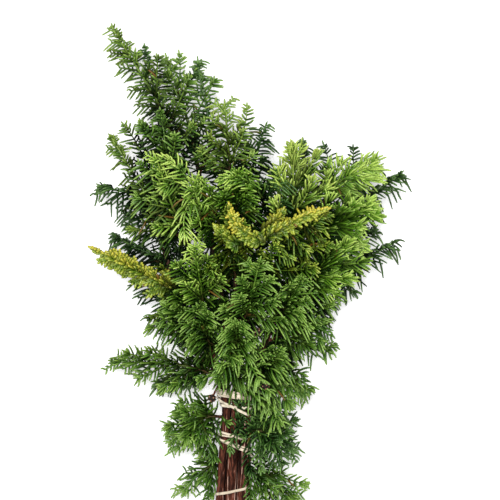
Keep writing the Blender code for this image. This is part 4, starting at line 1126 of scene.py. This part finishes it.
def fibres_along(name, line, count, draw):
    """Loose strips of bark that run along a stem, a few with an end lifted off it."""
    strips = []
    low, high = line[0].y + FIBRES_FROM, min(line[-1].y, FIBRES_TO)
    sway, bends, differs = FIBRE_SWAY
    for _ in range(count):
        start = draw.uniform(low, high - FIBRE_ROOM)
        length = draw.uniform(*FIBRE_LENGTHS)
        turn = draw.uniform(0.0, 2 * math.pi)
        lift = draw.choice(FIBRE_LIFTS)
        steps = max(FIBRE_LEAST_STEPS, round(length / FIBRE_STEP))
        points, radii = [], []
        for step in range(steps + 1):
            share = step / steps
            y = min(start + length * share, high)
            middle, along = place_on(line, y)
            out = round_about(turn + sway * math.sin(share * bends + turn * differs))
            out = (out - along * out.dot(along)).normalized()
            rise = stem_radius(name, y) - FIBRE_RADIUS * FIBRE_SINK + lift * (1 - share) ** 3
            points.append(middle + out * rise + along * (length * share * FIBRE_DRIFT))
            thick = math.sin(math.pi * between(FIBRE_ENDS, share))
            radii.append(FIBRE_RADIUS * thick * FIBRE_THICK)
        if points[-1].y - points[0].y > FIBRE_SHORTEST:
            strips.append(bark_line(above_surface(points, FIBRE_RADIUS), radii,
                                    draw.gauss(*FIBRE_TONES), [0.0] * len(points)))
    return strips


def mark_crease_shade(mesh, name, lines):
    """Marks how near the bark is to the next stem, from 0 to 1, for the painted shade in the gap.
    """
    crease = mesh.attributes.new("crease", "FLOAT", "POINT")
    others = [(other, line) for other, line in lines.items() if other != name]
    for vertex in mesh.vertices:
        clear = min((vertex.co - place_on(line, vertex.co.y)[0]).length
                    - stem_radius(other, vertex.co.y) for other, line in others)
        crease.data[vertex.index].value = within(1 - clear / CREASE)


def furrow(mesh, line, name):
    """Wears long furrows into a stem's tube and slants its cut end."""
    foot = line[0]
    thick = stem_radius(name, foot.y)
    for vertex in mesh.vertices:
        middle, _ = place_on(line, within(vertex.co.y, foot.y, line[-1].y))
        out = vertex.co - middle
        if out.length > thick * TUBE_CORE:
            depth = sum(
                share * noise.noise(Vector((out.x * across, vertex.co.y * along,
                                            out.z * across)))
                for across, along, share in FURROWS)
            vertex.co += out.normalized() * (RIDGE * depth)
        if vertex.co.y < foot.y + thick:
            vertex.co.y += CUT_SLANT * (vertex.co.z - foot.z)


def build_stem(name, lines, sprays, cone_twigs, draw, materials):
    """A stem with furrowed bark, its side twigs, loose strips and a pale cut end."""
    line, fine = lines[name], stem_line(name, STEM_STEP)
    shade = [within((p.y - LEAVES_START) * SHADE_RISES, 0.0, SHADE_MOST) for p in fine]
    trunk = swept("trunk_" + name, round_profile(sides=22),
                  [bark_line(fine, [stem_radius(name, p.y) for p in fine], 0.0, shade)])
    furrow(trunk, line, name)
    twigs = [bark_line([s.root, s.stub_end + (s.stub_end - s.root).normalized() * STUB_OVERLAP],
                       [STUB_RADIUS * FLARE, STUB_RADIUS * STUB_END], tone=0.2,
                       shade=[0.1, 0.35])
             for s in sprays if s.root != s.stub_end]
    twigs += [bark_line(ends, [0.0013, 0.0010], tone=0.2, shade=[0.1, 0.1])
              for ends in cone_twigs]
    meshes = [trunk]
    if twigs:
        meshes.append(swept("twigs_" + name, round_profile(sides=8), twigs))
    count = FIBRES[name.split("_")[0]]
    meshes.append(swept("fibres_" + name, round_profile(sides=6),
                        fibres_along(name, fine, count, draw)))
    mesh = joined("bark_" + name, meshes)
    mark_crease_shade(mesh, name, lines)
    tidy_mesh(mesh)
    cut = line[0].y + stem_radius(name, line[0].y) * END_CAP_REACH
    for face in mesh.polygons:
        if face.normal.y < -END_CAP_TURN and face.center.y < cut:
            face.material_index = 1
            face.use_smooth = False
    show("bark_" + name, mesh, [materials["bark"], materials["cut_wood"]], "stem_" + name)


RAFFIA_THICK = 0.0006
RAFFIA_LAYER = 0.0013
RAFFIA_SLACK = 0.0011
STATIONS_PER_TURN = 44
LEAST_STATIONS = 8
ACROSS = 7  # points across a strip
FOLD = 0.0005  # depth of the folds along a strip
FOLDS = (1.3, 60, 900)  # noise across it, along it and from strip to strip
CURL = -0.0004
EDGE_THIN = 0.5
ALONG_SCALE = 10
# Thinner strips beside the binding: first and last turn, how far beside it and above it, width
BESIDE = [(0.02, 0.95, 2.8, 1.0, 2.2), (0.05, 0.48, -2.4, 1.2, 1.8),
          (3.02, 3.48, -3.2, 0.9, 1.6), (4.05, 4.45, 2.6, 1.0, 1.8)]
WANDER = (0.7, 0.4, 9)  # a strip beside: its least distance, how far it wanders, how often
KNOT_TURN = 0.5
KNOT_RADIUS = 0.0032
KNOT_WIDTH = 0.0026
KNOT_RISE = 0.7  # the knot's middle above the binding, as a share of its radius
KNOT_DEEP = 0.5
KNOT_CROSSES = 0.6  # how far its three loops pass over each other
KNOT_STEPS = 40
# The loose ends: where each runs from the knot
LOOSE_ENDS = [((6, -10, 4), (10, -22, 3)), ((7, 4, 5), (13, -4, 10))]
END_STEP = 0.002
END_TAPER = (1.0, 0.4)


def bundle_support(lines, y, width, angle):
    """The middle of the stems at that place, and how far out they reach in one direction."""
    middle = sum((place_on(line, y)[0] for line in lines.values()), Vector()) / len(lines)
    out = round_about(angle)
    reach = max(
        (place_on(line, edge)[0] - middle).dot(out) + stem_radius(name, edge)
        for name, line in lines.items() for edge in (y - width / 2, y + width / 2))
    return middle, out, reach


def tie_row(turn):
    """The columns of TIE at that number of turns, eased from one row to the next."""
    for row, following in zip(TIE, TIE[1:]):
        if row[0] <= turn <= following[0]:
            share = (turn - row[0]) / (following[0] - row[0])
            return [between(ends, share) for ends in zip(row, following)][1:]
    return TIE[-1][1:]


def tie_station(lines, turn):
    """The tie's place, outward direction and width after that many turns."""
    y, layers, width = tie_row(turn)
    width /= PER_METRE
    angle = math.pi - 2 * math.pi * turn
    middle, out, reach = bundle_support(lines, y / PER_METRE, width, angle)
    away = reach + RAFFIA_SLACK + RAFFIA_THICK / 2 + layers * RAFFIA_LAYER
    return middle + out * away, out, width


def strip_mesh(name, stations, dry):
    """A strip of raffia, extruded from station to station and creased along its length.

    It is as dry as dry says at its start and its end.
    """
    bm = bmesh.new()
    across_layer, along_layer, dry_layer = (
        bm.verts.layers.float.new(layer) for layer in ("across", "along", "dry"))
    spots = [(-1 + 2 * i / (ACROSS - 1), 1) for i in range(ACROSS)]
    spots += [(-x, -1) for x, _ in spots]
    face, ring, run = None, [], 0.0
    last = len(stations) - 1
    for index, (place, out, width) in enumerate(stations):
        before, after = stations[max(index - 1, 0)][0], stations[min(index + 1, last)][0]
        run += (place - before).length
        across = (after - before).cross(out).normalized() * width / 2
        corners = []
        for x, side in spots:
            spot = [value * often for value, often in zip((x, run, width), FOLDS)]
            fold = noise.noise(Vector(spot)) * FOLD
            thick = RAFFIA_THICK / 2 * side * (1 - EDGE_THIN * x * x)
            corners.append(place + across * x + out * (fold + CURL * x * x + thick))
        if face is None:
            face = bm.faces.new([bm.verts.new(c) for c in corners])
            ring = list(face.verts)
        else:
            grown = bmesh.ops.extrude_face_region(bm, geom=[face])["geom"]
            new_ring = [g for g in grown if isinstance(g, bmesh.types.BMVert)]
            pairs = {v: min(new_ring, key=lambda n, v=v: (n.co - v.co).length) for v in ring}
            ring = [pairs[v] for v in ring]
            face = next(g for g in grown if isinstance(g, bmesh.types.BMFace))
        for vertex, corner, (x, _) in zip(ring, corners, spots):
            vertex.co = corner
            vertex[across_layer] = x
            vertex[along_layer] = run * ALONG_SCALE
            vertex[dry_layer] = between(dry, index / last)
    return finished(bm, name)


def strip_beside(lines, first, last, shift, rise, width):
    """Stations of a thinner strip that wanders beside the binding."""
    steps = max(LEAST_STATIONS, round((last - first) * STATIONS_PER_TURN))
    least, sway, often = WANDER
    stations = []
    for step in range(steps + 1):
        turn = between((first, last), step / steps)
        place, out, _ = tie_station(lines, turn)
        wander = Vector((0, shift * (least + sway * math.sin(turn * often)) / PER_METRE, 0))
        stations.append((place + wander + out * (rise / PER_METRE), out, width / PER_METRE))
    return stations


def knot_loop(middle):
    """Stations of the knot: a strip that runs three times through itself."""
    loop = []
    for step in range(KNOT_STEPS + 1):
        turn = 2 * math.pi * step / KNOT_STEPS
        ring = Vector((KNOT_DEEP * math.sin(3 * turn),
                       math.sin(turn) + KNOT_CROSSES * math.sin(2 * turn),
                       math.cos(turn) - KNOT_CROSSES * math.cos(2 * turn)))
        place = middle + ring * KNOT_RADIUS * 0.5
        loop.append((place, (place - middle).normalized(), KNOT_WIDTH))
    return loop


def loose_end(start, steps):
    """Stations of a loose end that runs from the knot, ever narrower."""
    line = smooth_line([start, *(start + in_metres(step) for step in steps)], END_STEP)
    count = len(line) - 1
    return [(place, UP, KNOT_WIDTH * between(END_TAPER, index / count))
            for index, place in enumerate(line)]


def build_raffia(lines, materials):
    """The binding: a long strip, thinner ones beside it, and a knot with loose ends."""
    turns = TIE[-1][0]
    count = round(turns * STATIONS_PER_TURN)
    whole = [tie_station(lines, turns * step / count) for step in range(count + 1)]
    meshes = [strip_mesh("binding", whole, dry=(0.0, 0.35))]
    meshes += [strip_mesh("beside", strip_beside(lines, *row), dry=(0.1, 0.5))
               for row in BESIDE]
    knot, out, _ = tie_station(lines, KNOT_TURN)
    middle = knot + out * KNOT_RADIUS * KNOT_RISE
    meshes.append(strip_mesh("knot", knot_loop(middle), dry=(0.1, 0.2)))
    meshes += [strip_mesh("end", loose_end(middle, steps), dry=(0.1, 0.9))
               for steps in LOOSE_ENDS]
    mesh = joined("raffia_strips", meshes)
    tidy_mesh(mesh)
    show("raffia_strips", mesh, [materials["raffia"]], "raffia_tie")


# A seed cone's shields: how far its ball is cut back at the corners, and the widths and heights
# of the crack round a shield, its side, its rim, its hollow and its point
CONE_BALL = 0.92
CORNER_CUT = 0.36
SHIELD_CORNERS = 5
CRACK_WIDTH = 0.0004
SIDE_WIDTH, SIDE_HEIGHT = 0.0002, 0.0008
RIM_WIDTH = 0.0005
HOLLOW_WIDTH, HOLLOW_DEPTH = 0.0007, -0.0003
POINT_HEIGHT = 0.0006
RAISED_FROM, RAISED_SLOPE = 0.80, 5.0
TWIG_IN_CONE = 0.9  # where a cone's twig ends, as a share of its radius


def inset(bm, face, width, depth=0.0):
    bmesh.ops.inset_region(bm, faces=[face], thickness=width, depth=depth)


def build_seed_cone(name, twig_end, centre, materials):
    """A ripe cone: a dozen five-sided shields, each with a small point, and cracks between."""
    turn = (centre - twig_end).to_track_quat("Z", "Y").to_matrix().to_4x4()
    bm = bmesh.new()
    raised = bm.verts.layers.float.new("raised")
    bmesh.ops.create_icosphere(
        bm, subdivisions=1, radius=SEED_CONE_RADIUS * CONE_BALL,
        matrix=Matrix.Translation(centre) @ turn)
    bmesh.ops.bevel(
        bm, geom=list(bm.verts), offset=SEED_CONE_RADIUS * CORNER_CUT, offset_type="OFFSET",
        segments=1, profile=0.5, affect="VERTICES", material=-1)
    bm.normal_update()
    for shield in [f for f in bm.faces if len(f.verts) == SHIELD_CORNERS]:
        normal = shield.normal.copy()
        inset(bm, shield, CRACK_WIDTH)
        inset(bm, shield, SIDE_WIDTH)
        bmesh.ops.translate(bm, vec=normal * SIDE_HEIGHT, verts=shield.verts)
        inset(bm, shield, RIM_WIDTH)
        for vertex in shield.verts:
            vertex[raised] = 1.0
        inset(bm, shield, HOLLOW_WIDTH, HOLLOW_DEPTH)
        point = bmesh.ops.poke(bm, faces=[shield])["verts"][0]
        point.co += normal * POINT_HEIGHT
    for vertex in bm.verts:
        height = (vertex.co - centre).length / SEED_CONE_RADIUS
        vertex[raised] = max(vertex[raised], within((height - RAISED_FROM) * RAISED_SLOPE))
    bmesh.ops.subdivide_edges(bm, edges=bm.edges, cuts=1, use_grid_fill=True, smooth=0.3)
    mesh = finished(bm, "cone_" + name)
    tidy_mesh(mesh)
    show("cone_" + name, mesh, [materials["seed_cone"]], name)


# Lamp: its place, what it looks at, its size and its power
LAMPS = {
    "key": ((-0.22, 0.30, 2.6), (0.0, 0.0, 0.05), 0.9, 74.0),
    "fill": ((0.60, -0.2, 2.5), (0.1, 0.0, 0.05), 1.8, 18.0),
}


def build_floor():
    bm = bmesh.new()
    bmesh.ops.create_grid(bm, x_segments=8, y_segments=8, size=6.0)
    mesh = finished(bm, "floor")
    mesh.materials.append(floor_finish())
    floor = add_object("floor", mesh)


def lamp(name, place, target, size, energy):
    """A large soft light that looks at a point."""
    light = bpy.data.lights.new(name, "AREA")
    light.shape = "DISK"
    light.size = size
    light.energy = energy
    made = add_object(name, light)
    made.location = place
    made.rotation_euler = (Vector(target) - Vector(place)).to_track_quat("-Z", "Y").to_euler()


def set_up_view():
    """The camera looks straight down on the bunch's face, as the photograph does."""
    scene = bpy.context.scene
    camera = bpy.data.cameras.new("camera")
    camera.sensor_width = 36.0
    camera.lens = 180.0
    scene.camera = add_object("camera", camera)
    scene.camera.location = (-0.0015, 0.0440, 2.56)
    for name, settings in LAMPS.items():
        lamp(name, *settings)
    scene.world = bpy.data.worlds.new("studio")
    scene.world.use_nodes = True
    sky = scene.world.node_tree.nodes["Background"]
    sky.inputs["Color"].default_value = WHITE
    sky.inputs["Strength"].default_value = 0.10
    scene.view_settings.view_transform = "Standard"


def main():
    set_up_view()
    build_floor()
    materials = {kind: leaf_finish(kind) for kind in LEAF_COLOURS}
    materials.update(bark=bark_finish(), cut_wood=cut_wood_finish(), raffia=raffia_finish(),
                     seed_cone=seed_cone_finish())
    lines = {name: stem_line(name, LINE_STEP) for name in STEMS}
    sprays = []
    for number, (name, (stem, *_)) in enumerate(SPRAYS.items()):
        sprays.append(Spray(name, lines[stem], random.Random(SPRAY_SEEDS + number)))
        sprays[-1].grow()
    shade_inside(sprays)
    for spray in sprays:
        build_spray(spray, materials)
    cone_twigs = {name: [] for name in STEMS}
    for name, (stem, seat, centre) in SEED_CONES.items():
        root, _ = place_on(lines[stem], seat / PER_METRE)
        centre = in_metres(centre)
        end = centre - (centre - root).normalized() * SEED_CONE_RADIUS * TWIG_IN_CONE
        cone_twigs[stem].append([root, end])
        build_seed_cone(name, end, centre, materials)
    draw = random.Random(SEED)
    for name in lines:
        carried = [spray for spray in sprays if spray.stem == name]
        build_stem(name, lines, carried, cone_twigs[name], draw, materials)
    build_raffia(lines, materials)


main()
